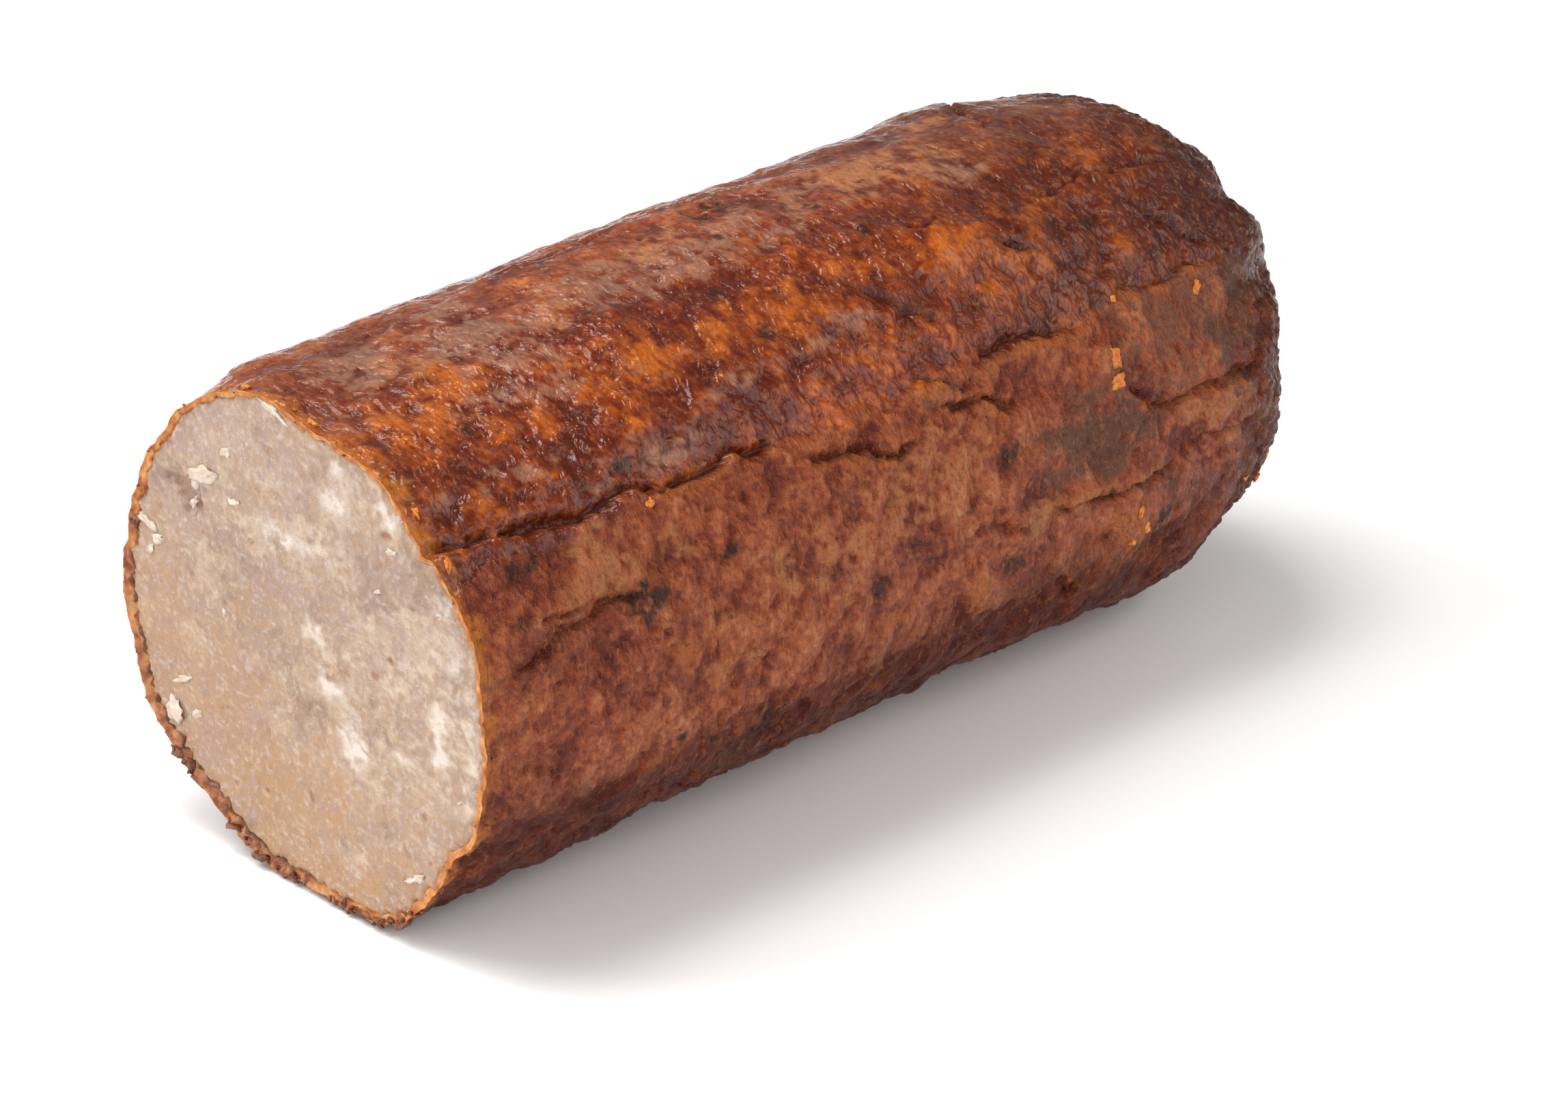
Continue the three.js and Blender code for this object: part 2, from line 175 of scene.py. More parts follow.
# tan patches: partly the skin's own tan, partly painted sheen on the upper glaze
TAN_AND_SHEEN = (
    (31, 154, 7, 7, 0.7), (139, 183, 4, 4, 0.8), (194, 175, 10, 4, 1), (184, 164, 10, 6, 0.5),
    (80, 172, 18, 9, 0.45), (108, 167, 14, 7, 0.45), (24, 94, 4, 8, 0.5), (55, 101, 5, 4, 0.5),
    (90, 91, 14, 6, 0.5), (133, 88, 6, 6, 0.6), (168, 82, 7, 3, 0.7), (56, 116, 4, 3, 0.5),
    (120, 163, 10, 4, 0.3), (50, 156, 8, 4, 0.3), (140, 95, 24, 8, 0.4), (58, 186, 10, 5, 0.3),
)
CHAR = (
    (104, 86, 6, 5.5, 0.8), (95.5, 97, 2.2, 1.8, 1), (88.5, 125, 3.4, 2.8, 1), (95.5, 118, 1.4, 1.1, 1),
    (131.5, 167.5, 2.3, 2.2, 1.3), (95.5, 183, 2.6, 3.6, 0.9), (15, 147, 3.6, 3, 0.8),
    (11, 157, 3, 2, 0.6), (41, 166, 4.5, 3.2, 1), (36, 162, 4, 2, 0.7), (46, 198, 2.5, 2, 0.8),
    (57, 202, 3, 2, 0.6), (70, 206, 4, 7, 0.7), (134, 193, 4, 3, 0.8), (59, 162, 3, 2, 0.6),
    (56, 174, 3.5, 1.6, 0.5), (43, 157, 1.5, 0.8, 0.6), (121, 98, 1.6, 3, 0.6),
    (123, 112, 1.6, 1.3, 0.8), (106, 178, 2.6, 1.6, 0.8), (109, 183, 2, 1.5, 0.6),
    (121, 175, 1.6, 1.3, 0.8), (86, 111, 3, 2, 0.5), (173, 128, 3.4, 2, 0.7), (45, 138, 3.5, 2.4, 0.9),
    (22, 117, 3, 2.2, 0.6), (59, 105, 2.2, 2, 0.6), (73, 127, 2.6, 1, 0.8), (151, 96, 1.3, 0.9, 0.6),
    (136, 97, 1.2, 0.9, 0.7), (176, 185, 2, 0.9, 1), (162, 186, 1.6, 1.1, 1), (201, 171, 1.6, 1, 1),
    (178, 196, 2.2, 2, 0.8), (163, 198, 1.6, 1.6, 0.8), (197, 174, 0.6, 0.5, 0.9),
    (198, 177, 0.9, 0.6, 0.7), (200, 104, 6, 4, 0.4),
)
DARK = (
    (130, 111, 20, 3, 0.8), (160, 112, 15, 3, 0.6), (185, 142, 14, 3, 0.7), (140, 143, 16, 3.5, 0.5),
    (175, 125, 6, 4, 0.5), (75, 76, 20, 2.6, 0.7), (115, 76, 24, 3, 0.7), (12, 150, 12, 7, 0.7),
    (8, 180, 9, 22, 0.45), (14, 163, 10, 4, 0.5), (40, 163, 12, 4, 0.5), (40, 207, 42, 8, 0.55),
    (140, 211, 18, 6, 0.7), (110, 215, 44, 8, 0.55), (190, 197, 16, 10, 0.7), (165, 153, 10, 5, 0.4),
    (72, 152, 6, 6, 0.4), (60, 163, 5, 3, 0.4), (10, 131, 9, 4, 0.5), (8, 92, 6, 4, 0.6),
    (18, 76, 14, 3, 0.6), (16, 212, 26, 10, 0.5), (60, 230, 60, 14, 0.5), (150, 236, 50, 16, 0.5),
    (36, 128, 10, 2, 0.5), (212, 130, 12, 26, 0.7), (222, 170, 12, 60, 0.8), (60, 80, 10, 3, 0.3),
    (152, 190, 5, 3, 0.3),
)
GREY = (
    (157, 173, 15, 8, 1.4), (197, 163, 5.5, 7, 0.9), (128, 144, 6, 3, 0.35), (185, 140, 10, 3, 0.35),
    (206, 152, 9, 8, 0.4), (197, 86, 8, 7, 0.6), (150, 112, 14, 3, 0.3), (82, 84, 7, 2, 0.5),
    (97, 156, 2.6, 2.6, 0.6), (103, 104, 2.6, 3, 0.5), (108, 80, 6, 5, 0.5), (134, 193, 5, 3, 0.6),
    (60, 216, 20, 6, 0.3), (140, 207, 14, 3, 0.3), (175, 188, 8, 4, 0.4),
)
# painted sheen: pinkish, paler patches in the glaze that stand in for reflections of the light
PAINTED_SHEEN = (
    (19, 84, 7, 9, 1), (41, 96, 8, 19, 1), (17, 129.5, 15, 3.2, 0.45), (50, 138, 16, 3.8, 0.4),
    (77, 132, 10, 2.6, 0.35), (104, 130, 12, 2.6, 0.4), (88, 97, 26, 8, 0.8), (130, 93, 20, 7, 0.8),
    (27, 112, 5, 4, 0.5), (6, 100, 4, 6, 0.4), (150, 105, 12, 5, 0.4), (66, 98, 10, 6, 0.5),
)
# dusty brown film on the satin skin
DUST = (
    (176, 153, 8, 7, 1), (191, 153, 9, 7, 1), (180, 163, 14, 7, 0.5), (158, 166, 12, 8, 0.5),
    (205, 165, 7, 12, 0.6), (150, 200, 24, 7, 0.3), (120, 150, 14, 3, 0.4), (180, 205, 16, 8, 0.4),
)
# lower edge of the glaze: t of the edge at each s
GLAZE_EDGE_S = (0, 42, 55, 80, 104, 120, 158, 168, 200, 212, 226, 238)
GLAZE_EDGE_T = (146, 145, 146, 147, 149, 146.5, 148.5, 146, 145, 156, 168, 175)

# ---- colours (linear; rows of them run from the darkest tone to the palest) ----
SATIN_COLOURS = (
    (0.09, 0.007, 0.002), (0.175, 0.023, 0.006), (0.285, 0.052, 0.014), (0.375, 0.09, 0.03),
    (0.48, 0.155, 0.062),
)
GLAZE_COLOURS = (
    (0.095, 0.008, 0.001), (0.155, 0.015, 0.001), (0.245, 0.032, 0.002), (0.37, 0.06, 0.003),
    (0.56, 0.11, 0.006),
)
PAINTED_SHEEN_COLOUR = (0.31, 0.128, 0.078)
DUST_COLOUR = (0.172, 0.056, 0.031)
SKIN_TINT = (0.88, 1, 1)
SATIN_ORANGE = (0.36, 0.085, 0.014)
TAN_AND_SHEEN_COLOUR = (0.39, 0.125, 0.045)
DARK_COLOUR = (0.1, 0.012, 0.003)
TIP_COLOUR = (0.05, 0.008, 0.003)
# darker underside: partly a darker crust, partly painted shade on the side that faces down
UNDERSIDE_BROWN_AND_SHADE = (0.062, 0.005, 0.001)
GREY_COLOUR = (0.11, 0.046, 0.031)
CHAR_COLOUR = (0.022, 0.007, 0.004)
CREASE_SHADE_COLOUR = (0.045, 0.005, 0.001)
RIM_COLOUR = (0.48, 0.13, 0.011)
# the next two: orange flecks, partly painted light, on proud grains, and painted shade in the hollows
FLECK_AND_LIGHT_COLOUR = (0.62, 0.21, 0.05)
SUNK_SHADE_COLOUR = (0.055, 0.005, 0.001)
PORE_COLOUR = (0.05, 0.012, 0.006)
EDGE_COLOURS = ((0.34, 0.08, 0.01), (0.6, 0.19, 0.022), (0.72, 0.36, 0.11))
WIDE_EDGE_COLOURS = ((0.17, 0.036, 0.008), (0.4, 0.135, 0.04), (0.6, 0.31, 0.14))
WIDE_EDGE_PLACES = (0, 0.45, 1)
GAP_SHADE_COLOUR = (0.045, 0.014, 0.007)
MEAT_COLOURS = ((0.35, 0.23, 0.17), (0.5, 0.345, 0.24), (0.7, 0.56, 0.43))
MEAT_PINK = (0.44, 0.3, 0.262)
MEAT_WARM = (0.48, 0.26, 0.112)
MEAT_WHITE = (0.97, 0.9, 0.85)
MEAT_ORANGE = (0.52, 0.26, 0.1)
MEAT_BROWN = (0.3, 0.12, 0.05)
MEAT_HOLLOW_SHADE = (0.47, 0.285, 0.235)
MEAT_TINT = (0.85, 0.825, 0.785)
PALE_SPECK = (0.9, 0.84, 0.78)
DARK_SPECK = (0.25, 0.1, 0.05)
BIT_COLOURS = ((0.58, 0.41, 0.3), (0.82, 0.69, 0.58))

# ---- crust edge round the cut: its width in mm at each t ----
EDGE_T = (0, 12, 22, 35, 60, 90, 140, 180, 225, 250, 268, 285, 298, 320, 342, 360)
EDGE_WIDTH = (2.2, 2.2, 1.8, 1.1, 1, 1, 1.2, 1.3, 1.5, 1.6, 1.9, 2.8, 3.3, 3.3, 2.8, 2.2)
BURNT_EDGE = (286, 26)  # middle and reach of the darkest part, in t
EDGE_COLUMNS = 720
EDGE_RINGS = (0, 0.05, 0.14, 0.25, 0.37, 0.5, 0.62, 0.74, 0.86, 0.96, 1.06, 1.25)
MEAT_FROM = 0.96  # share of the crust's width at which the meat starts

# ---- cut face ----
FACE_CENTRE_Z = 49
FACE_RADIUS = 50
FACE_CELLS = 252
FACE_UV_SPAN = 120
MEAT_RECESS = 0.35
HOLLOW = (33, 71.5, 4.6, 2.4, 34, 1.9)  # y, z, reach along, reach across, slant, depth
# pits and rough spots (y, z, reach in y, reach in z, strength)
PITS = (
    (-26, 81, 1.5, 0.9, 0.7), (-33, 69, 0.8, 0.6, 0.4), (-26, 56.5, 1.5, 0.8, 0.6),
    (-33, 28.5, 0.8, 1.3, 0.7), (13, 67, 1, 0.6, 0.5), (5, 79, 1.9, 0.6, 0.5), (0.4, 10, 0.4, 1.2, 0.9),
    (12.6, 17, 0.7, 0.6, 0.5), (-22, 52.5, 1.2, 1, 0.4), (26, 73, 0.5, 0.4, 0.6),
    (36, 69, 0.5, 0.4, 0.8), (-41, 75, 0.7, 0.6, 0.4), (21, 69, 0.4, 0.3, 0.4),
    (-29, 60, 0.4, 0.4, 0.6), (7, 49, 0.5, 0.4, 0.4), (4, 57, 0.5, 0.4, 0.4), (-6, 34, 0.3, 0.6, 0.5),
    (-19, 76, 0.6, 0.4, 0.4), (37, 79, 1.2, 2, 0.5), (-49, 45, 0.5, 1.2, 0.4), (-44, 50, 0.4, 0.4, 0.4),
)
ROUGH_SPOTS = (
    (-2, 38, 4, 3, 1), (-8, 49, 4, 3, 0.7), (-25, 55, 5, 3, 0.6), (-37, 38, 2, 3, 0.7),
    (15, 40, 4, 2, 0.6), (11, 29, 2, 2, 0.8), (-28, 47, 2, 2, 0.5), (42, 38, 8, 8, 0.3),
)
# tints of the meat (y, z, reach in y, reach in z, strength)
WHITE_FAT = (
    (-14, 88.5, 4.4, 2, 0.8), (-11.5, 82.5, 3.9, 2.4, 0.9), (-28, 85, 5.2, 2.2, 1),
    (2, 71.5, 7.8, 2, 0.8), (7.5, 68.5, 2.6, 4.1, 0.6), (-3, 66, 2.6, 5.4, 0.5),
    (-8.5, 45.5, 4.7, 2.7, 1.2), (-14.5, 36, 3.4, 4.9, 1.3), (-38.5, 45, 2.3, 6.8, 1.1),
    (-36.5, 64, 2.6, 4.1, 0.6), (-28, 38, 3.9, 2.2, 0.9), (-43, 60, 3.4, 9.5, 0.7),
    (-6, 55, 6.5, 2.7, 0.6), (-48, 52, 2.1, 6.8, 0.6), (-20, 44, 2.6, 4.1, 0.3),
    (22, 84, 3.9, 2.7, 0.3), (15, 43, 3.9, 1.6, 0.6), (-23, 66, 3.9, 4.1, 0.5),
    (-41, 72, 3.9, 2.7, 0.6), (-30, 58, 2.6, 2.7, 0.5), (-47, 38, 2.6, 8.1, 0.6),
    (33, 42, 7.8, 4.1, 0.4), (-12, 12, 10.4, 4.1, 0.4), (-12, 73, 6.5, 4.1, 0.4),
    (-22, 28, 6.5, 6.8, 0.3),
)
WARM_TINT = (
    (30, 30, 16, 10, 0.8), (5, 24, 12, 7, 0.8), (0, 8, 22, 6, 0.8), (40, 50, 6, 12, 0.6),
    (42, 66, 2, 3, 0.8), (14, 54, 8, 10, 0.5), (24, 40, 10, 8, 0.5), (-26, 12, 10, 5, 0.6),
    (-8, 27, 3, 4, 0.7), (43, 24, 3, 4, 0.9), (10, 76, 8, 4, 0.3), (-42, 14, 6, 5, 0.5),
    (-20, 95, 12, 4, 0.3), (20, 24, 4, 3, 0.6),
)
PINK_TINT = (
    (14, 30, 6, 5, 0.9), (26, 36, 8, 5, 0.5), (4, 62, 7, 4, 0.8), (14, 58, 6, 6, 0.5),
    (-22, 74, 10, 4, 0.6), (24, 90, 8, 4, 0.7), (30, 82, 8, 6, 0.5), (34, 66, 6, 5, 0.5),
    (46, 62, 4, 6, 0.5), (30, 20, 6, 6, 0.6), (-24, 12, 4, 3, 0.7), (-20, 20, 6, 5, 0.5),
    (-44, 26, 5, 4, 0.4), (0, 84, 14, 5, 0.4), (-28, 62, 4, 4, 0.4), (8, 92, 6, 1.2, 0.6),
    (-10, 60, 8, 5, 0.4), (-40, 30, 6, 5, 0.4), (20, 97, 6, 2, 0.6),
)
BROWN_SPOTS = (
    (-26, 81, 1.6, 1, 1), (-33, 69, 0.9, 0.6, 0.9), (-26, 56.5, 1.7, 0.9, 1),
    (-33.5, 28.5, 0.9, 1.4, 1), (13, 67, 1, 0.6, 0.9), (0.4, 10.4, 0.4, 1.3, 1.6),
    (12.6, 17, 0.8, 0.6, 1), (-22, 52.5, 1.6, 1.4, 0.8), (-1, 80, 0.8, 0.5, 0.9),
    (32, 54.5, 1.2, 0.6, 0.7), (-20.5, 46, 1.6, 1.2, 0.5), (-32, 58, 1.2, 1.6, 0.5),
    (-43, 57.5, 1.4, 1.4, 0.5), (24, 29, 2.6, 1.6, 0.5), (-1.5, 20.5, 1, 1, 0.8), (23, 52, 2, 1.6, 0.5),
    (-28, 19.5, 1.6, 1.6, 0.6), (-19, 12, 0.8, 0.6, 0.8), (22, 15, 0.7, 0.5, 0.9),
    (8, 43, 0.8, 0.8, 0.6), (37, 79, 1.2, 2, 0.5), (28, 87, 1.6, 0.5, 0.6), (14, 86.5, 0.9, 0.5, 0.8),
    (-19, 76, 0.6, 0.4, 0.6), (5, 79, 2.2, 0.8, 0.5), (-17, 42.5, 0.9, 0.6, 0.6),
    (-6, 39, 2.5, 2, 0.35), (8, 36, 1.2, 1.4, 0.5), (12, 90, 5, 0.6, 0.5), (-4, 28, 2, 2, 0.3),
    (-16, 31, 0.6, 0.6, 0.6), (40, 65, 1, 2, 0.5), (-9, 41, 0.5, 0.5, 0.7), (27.5, 64, 0.6, 0.5, 0.8),
    (-49.5, 45, 0.5, 1.4, 0.6), (-35, 20, 1, 1, 0.5),
)

# ---- loose and half-loose bits ----
# on the cut face: y, z, half sizes in y and z, thickness, slant in degrees
PALE_BITS = (
    (26.5, 76, 4, 1.5, 1, 18), (29, 74, 2, 0.9, 0.7, 60), (17.3, 73.6, 1.9, 0.7, 0.6, 12),
    (19.5, 82.5, 1.4, 0.9, 0.5, 40), (-27.5, 78.2, 1.7, 0.8, 0.5, 14), (22.6, 49.4, 0.9, 0.7, 0.4, 50),
    (40, 23.6, 2.6, 2.2, 1.1, 30), (-30.5, 14.8, 3, 0.7, 0.8, 30), (45, 61, 2.4, 1.1, 0.8, -20),
    (42, 58.5, 1.8, 1, 0.6, 10), (37, 31, 3, 0.8, 0.5, 20), (33, 25.5, 1.6, 0.9, 0.5, 30),
    (30, 69.5, 1.4, 0.6, 0.6, 50), (44.5, 55.5, 1.6, 0.8, 0.5, 50), (-40, 70, 1, 0.5, 0.4, 20),
    (13.5, 83, 1.2, 0.5, 0.3, 40), (-23, 69, 1.2, 0.4, 0.3, 30), (-30, 84.6, 1.4, 0.5, 0.4, 30),
    (-44, 35.5, 0.8, 0.4, 0.3, 40),
)
# pale torn flap of meat over the top of the rim: y, z, half sizes along and across, slant
RIM_FLAP = (5, 95.4, 3.4, 0.9, -17)
# large flakes of crust at the rim: t, how far outside the rim, half sizes along and across
RIM_FLAKES = (
    (-42, 0.5, 1.8, 1.1), (-46, -0.6, 1.5, 1), (-63, 0.4, 1.7, 0.9), (-73, 0.2, 1.6, 0.8),
    (-90, 0.3, 1.5, 0.6), (-107, 0.4, 1.8, 0.7), (-112, -0.3, 1.3, 0.6), (-119, 0.3, 2, 0.8),
    (-125, -0.2, 1.2, 0.6), (14, -0.8, 1.4, 0.8),
)
# small crumbs along the rim: from t, to t, how many, largest half size
CRUMB_SEED = 7
RIM_CRUMBS = (
    (-70, -38, 36, 0.9), (-100, -70, 50, 1.1), (-128, -100, 60, 0.9), (-200, -135, 26, 0.55),
    (-38, 160, 40, 0.45),
)
CRUMB_COLOURS = ((0.05, 0.01, 0.003), (0.13, 0.029, 0.008), (0.37, 0.105, 0.027))
FLAKE_COLOURS = ((0.42, 0.09, 0.008), (0.64, 0.18, 0.014), (0.76, 0.29, 0.04))
# orange flakes stuck to the skin: s, t, half sizes along and round, slant in degrees
ORANGE_FLAKES = (
    (165, 157.5, 2.5, 1.7, -20), (164.5, 161.5, 2, 1.3, 15), (191.8, 149, 1.1, 0.8, 60),
    (169.5, 146, 0.8, 0.6, 30), (170, 193, 1.2, 0.7, 70), (171.5, 197, 1, 0.8, 40),
    (168.5, 199.5, 0.8, 0.5, 10), (44, 146.5, 0.9, 0.7, 30), (218, 198, 1.4, 0.8, 40),
    (214, 203, 1.1, 0.9, 10), (221, 205, 1, 0.7, 80), (209, 200, 0.9, 0.6, 20), (2, 128, 1, 0.5, 80),
    (1.5, 140, 1.2, 0.6, 80), (1.5, 96, 1.1, 0.5, 80), (1.5, 75, 1.3, 0.6, 80),
)


# ---- small numeric helpers ----
def gauss(x):
    return np.exp(-x * x)


def ease(low, high, x):
    """Smooth step from 0 at low to 1 at high."""
    share = np.clip((x - low) / (high - low), 0, 1)
    return share * share * (3 - 2 * share)


def ramp(value, colours, places=None):
    """Colour for each value, between colours at those places or spread evenly from 0 to 1."""
    places = places or np.linspace(0, 1, len(colours))
    return np.stack([np.interp(value, places, channel) for channel in zip(*colours)], -1)


def mix(share, first, second):
    share = np.clip(share, 0, 1)[..., None]
    return first * (1 - share) + np.asarray(second) * share


def layered(colour, *layers):
    """Colour with layers of (share, tint) laid over it in turn."""
    for share, tint in layers:
        colour = mix(share, colour, tint)
    return colour


def sharpen(mask, uneven, low, high, amount=0.5):
    """A soft patch with a ragged, firmer edge."""
    return ease(low, high, mask + amount * uneven * ease(0.02, 0.25, mask))


def cell_value(i, j, k):
    value = np.sin(i * 127.1 + j * 311.7 + k * 74.7) * 43758.5453
    return (value - np.floor(value)) * 2 - 1


def lumpiness(x, y, z):
    """Smooth lumps between -1 and 1, the same as in the part's source."""
    i, j, k = np.floor(x), np.floor(y), np.floor(z)
    fx, fy, fz = (f * f * (3 - 2 * f) for f in (x - i, y - j, z - k))
    total = 0
    for n in range(8):
        a, b, c = n & 1, (n >> 1) & 1, (n >> 2) & 1
        weight = (fx if a else 1 - fx) * (fy if b else 1 - fy) * (fz if c else 1 - fz)
        total = total + weight * cell_value(i + a, j + b, k + c)
    return total


def grain(points, size, octaves=2, roll=0):
    """Natural-looking noise, about -1 to 1. Size is in mm and may differ along x, y and z."""
    at = (points / np.asarray(size) + roll).reshape(-1, 3).tolist()
    values = [noise.fractal(place, 0.8, 2, octaves) for place in at]
    return 1.5 * np.array(values).reshape(points.shape[:-1])


def domes(points, size):
    """Rounded pebbles with grooves between them, 0 to 1."""
    at = (points / size).reshape(-1, 3).tolist()
    nearest = np.array([noise.voronoi(place)[0][:2] for place in at])
    gap = nearest[:, 1] - nearest[:, 0]
    return ease(0, 0.45, gap).reshape(points.shape[:-1])


def grooves(points, size, width, roll):
    """Thin winding grooves, 1 in the groove and 0 away from it."""
    return gauss(grain(points, size, 2, roll) / width)


def through(share, values):
    """Curve through a value at the cut, one half way and one at the tip."""
    cut, half_way, tip = values
    left, past_half = 1 - share, 2 * share - 1
    return cut * left * -past_half + half_way * 4 * share * left + tip * share * past_half


def smallest_turn(degrees):
    return (degrees + 540) % 360 - 180


def blobs(s, t, patches):
    """Sum of soft patches, each (s, t, reach along, reach round, strength)."""
    total = np.zeros(np.shape(s))
    for at_s, at_t, along, around, strength in patches:
        total += strength * gauss((s - at_s) / along) * gauss(smallest_turn(t - at_t) / around)
    return total


def nearest_on_path(path, s, t):
    """Distance to a path in mm, the side of it, and the way to the path's closer end."""
    best = np.full(s.shape, 1e9)
    side = np.ones(s.shape)
    along = np.zeros(s.shape)
    passed = 0
    for (s0, t0), (s1, t1) in zip(path[:-1], path[1:]):
        ds, dt = s1 - s0, (t1 - t0) * ARC
        ps, pt = s - s0, (t - t0) * ARC
        reach = math.hypot(ds, dt)
        share = np.clip((ps * ds + pt * dt) / reach ** 2, 0, 1)
        distance = np.hypot(ps - share * ds, pt - share * dt)
        nearer = distance < best
        best = np.where(nearer, distance, best)
        side = np.where(nearer, np.sign(ds * pt - dt * ps), side)
        along = np.where(nearer, passed + share * reach, along)
        passed += reach
    return best, side, np.minimum(along, passed - along)


# ---- the skin's shape ----
def fold_fields(s, t, points):
    """Height of all folds, and how much each point lies in a crease or on a lip."""
    height, creased, lipped = np.zeros((3, *s.shape))
    wander_s = 1.2 * grain(points, 6, 3)
    wander_t = 1.2 * grain(points, 6, 3, 5.3)
    for path, depth, width, lip in FOLDS:
        distance, side, to_end = nearest_on_path(path, s + wander_s, t + wander_t)
        fade = ease(0, FOLD_FADE, to_end)
        crease = gauss(distance / (width * CREASE_SHARPEN))
        lip_side = side * np.sign(lip) > 0
        proud = np.where(lip_side, abs(lip), 0) * gauss(distance / LIP_REACH) * (1 - crease)
        height += fade * (proud - CREASE_DEEPEN * depth * crease)
        creased = np.maximum(creased, fade * crease * min(1, depth / 1.4))
        edge = np.where(lip_side, gauss(distance - 1.6), 0)
        lipped = np.maximum(lipped, fade * edge * min(1, abs(lip)))
    return height, creased, lipped


def glaze_amount(s, t, points):
    """1 on the glazed upper side, 0 on the satin lower side."""
    edge = np.interp(s, GLAZE_EDGE_S, GLAZE_EDGE_T)
    ragged = (2.2 + 3 * ease(160, 185, s)) * grain(points, 5, 3, 2.2)
    thins_out = 1 - 0.15 * ease(196, 216, s)
    far_edge = ease(*GLAZE_FAR_T, t + 14 * grain(points, 12, 3, 3.9))
    return ease(*GLAZE_FADE, t + ragged - edge) * far_edge * thins_out


def slanted(s, t, along, across):
    """Places for noise drawn out along the slant of the ripples."""
    arc, cos, sin = t * ARC, math.cos(SLANT), math.sin(SLANT)
    return np.stack([(s * cos + arc * sin) / along, (arc * cos - s * sin) / across, 0 * s], -1)


def skin_zones(s, t, glaze):
    """Where the skin is pebbly, where a smooth membrane, and where the rough far end."""
    upper = glaze * ease(*UPPER_T, t)
    pebbly = upper * ease(*PEBBLY_S, s) * ease(*PEBBLY_T, t)
    return pebbly, glaze - upper, ease(*FAR_END_S, s)


def fine_relief(points, s, t, glaze):
    """Relief too fine for the solid, in mm; most lines are zone * height * pattern."""
    satin = 1 - glaze
    pebbly, membrane, far = skin_zones(s, t, glaze)
    near_cut = ease(*NEAR_CUT_S, s)
    beyond = 1 - near_cut
    warped = points + 1.8 * grain(points, 5, 2, 6.6)[..., None]
    relief = 0.42 * grain(points, 8, 2) + 0.12 * grain(points, 3, 2, 3.1)
    relief += pebbly * near_cut * 0.24 * grain(slanted(s, t, 6, 3.4), 1, 2, 1.7)
    relief += pebbly * beyond * 0.26 * (domes(points, 3.4) - 0.5)
    relief += membrane * 0.2 * grain(warped, (3.6, 5.4, 5.4), 3, 7.7)
    relief -= membrane * 0.45 * grooves(warped, (7, 12, 12), 0.2, 1.1)
    relief += satin * 0.5 * grain(warped, (6, 9, 9), 3, 5.7)
    relief -= satin * 0.6 * grooves(warped, (8, 14, 14), 0.18, 2.9)
    relief -= far * 0.7 * grooves(points, (8, 5, 5), 0.22, 0.6)
    relief += far * 0.32 * grain(points, 4.5, 3, 5)
    return relief


def skin_fields(s, t, turn):
    """Points of the skin in mm, with their colour and finish."""
    share = s / LENGTH
    half_width, half_height = through(share, HALF_WIDTHS), through(share, HALF_HEIGHTS)
    cos, sin = np.cos(np.radians(t)), np.sin(np.radians(t))
    shrink, bulge = (wave.clip(0) ** (2 / DOME_POWER) for wave in (np.cos(turn), np.sin(turn)))
    middle = half_height - SETTLE
    plain = np.stack([s, half_width * shrink * cos, middle + half_height * shrink * sin], -1)
    slope = np.where(turn > 0, bulge ** (DOME_POWER - 1) / DOME_LENGTH, 0)
    rounding = shrink ** (DOME_POWER - 1)
    out = np.stack([slope, rounding * cos / half_width, rounding * sin / half_height], -1)
    out /= np.linalg.norm(out, axis=-1, keepdims=True)

    tip_fade = np.minimum(1, shrink / 0.35)
    folds, crease, lip = fold_fields(s, t, plain)
    glaze = glaze_amount(s, t, plain)
    fine = fine_relief(plain, s, t, glaze) * tip_fade
    relief = (blobs(s, t, BUMPS) + folds) * tip_fade + fine
    for size, height in LUMPS:
        relief = relief + height * lumpiness(*np.moveaxis(plain / size, -1, 0))
    points = plain + out * relief[..., None]
    points[..., 0] = np.where(s <= 0, 0, points[..., 0])
    points[..., 2] = np.maximum(0, points[..., 2])
    colour, dry = skin_colour(plain, s, t, glaze, fine, crease, lip)
    return points, colour, glaze, dry, crease


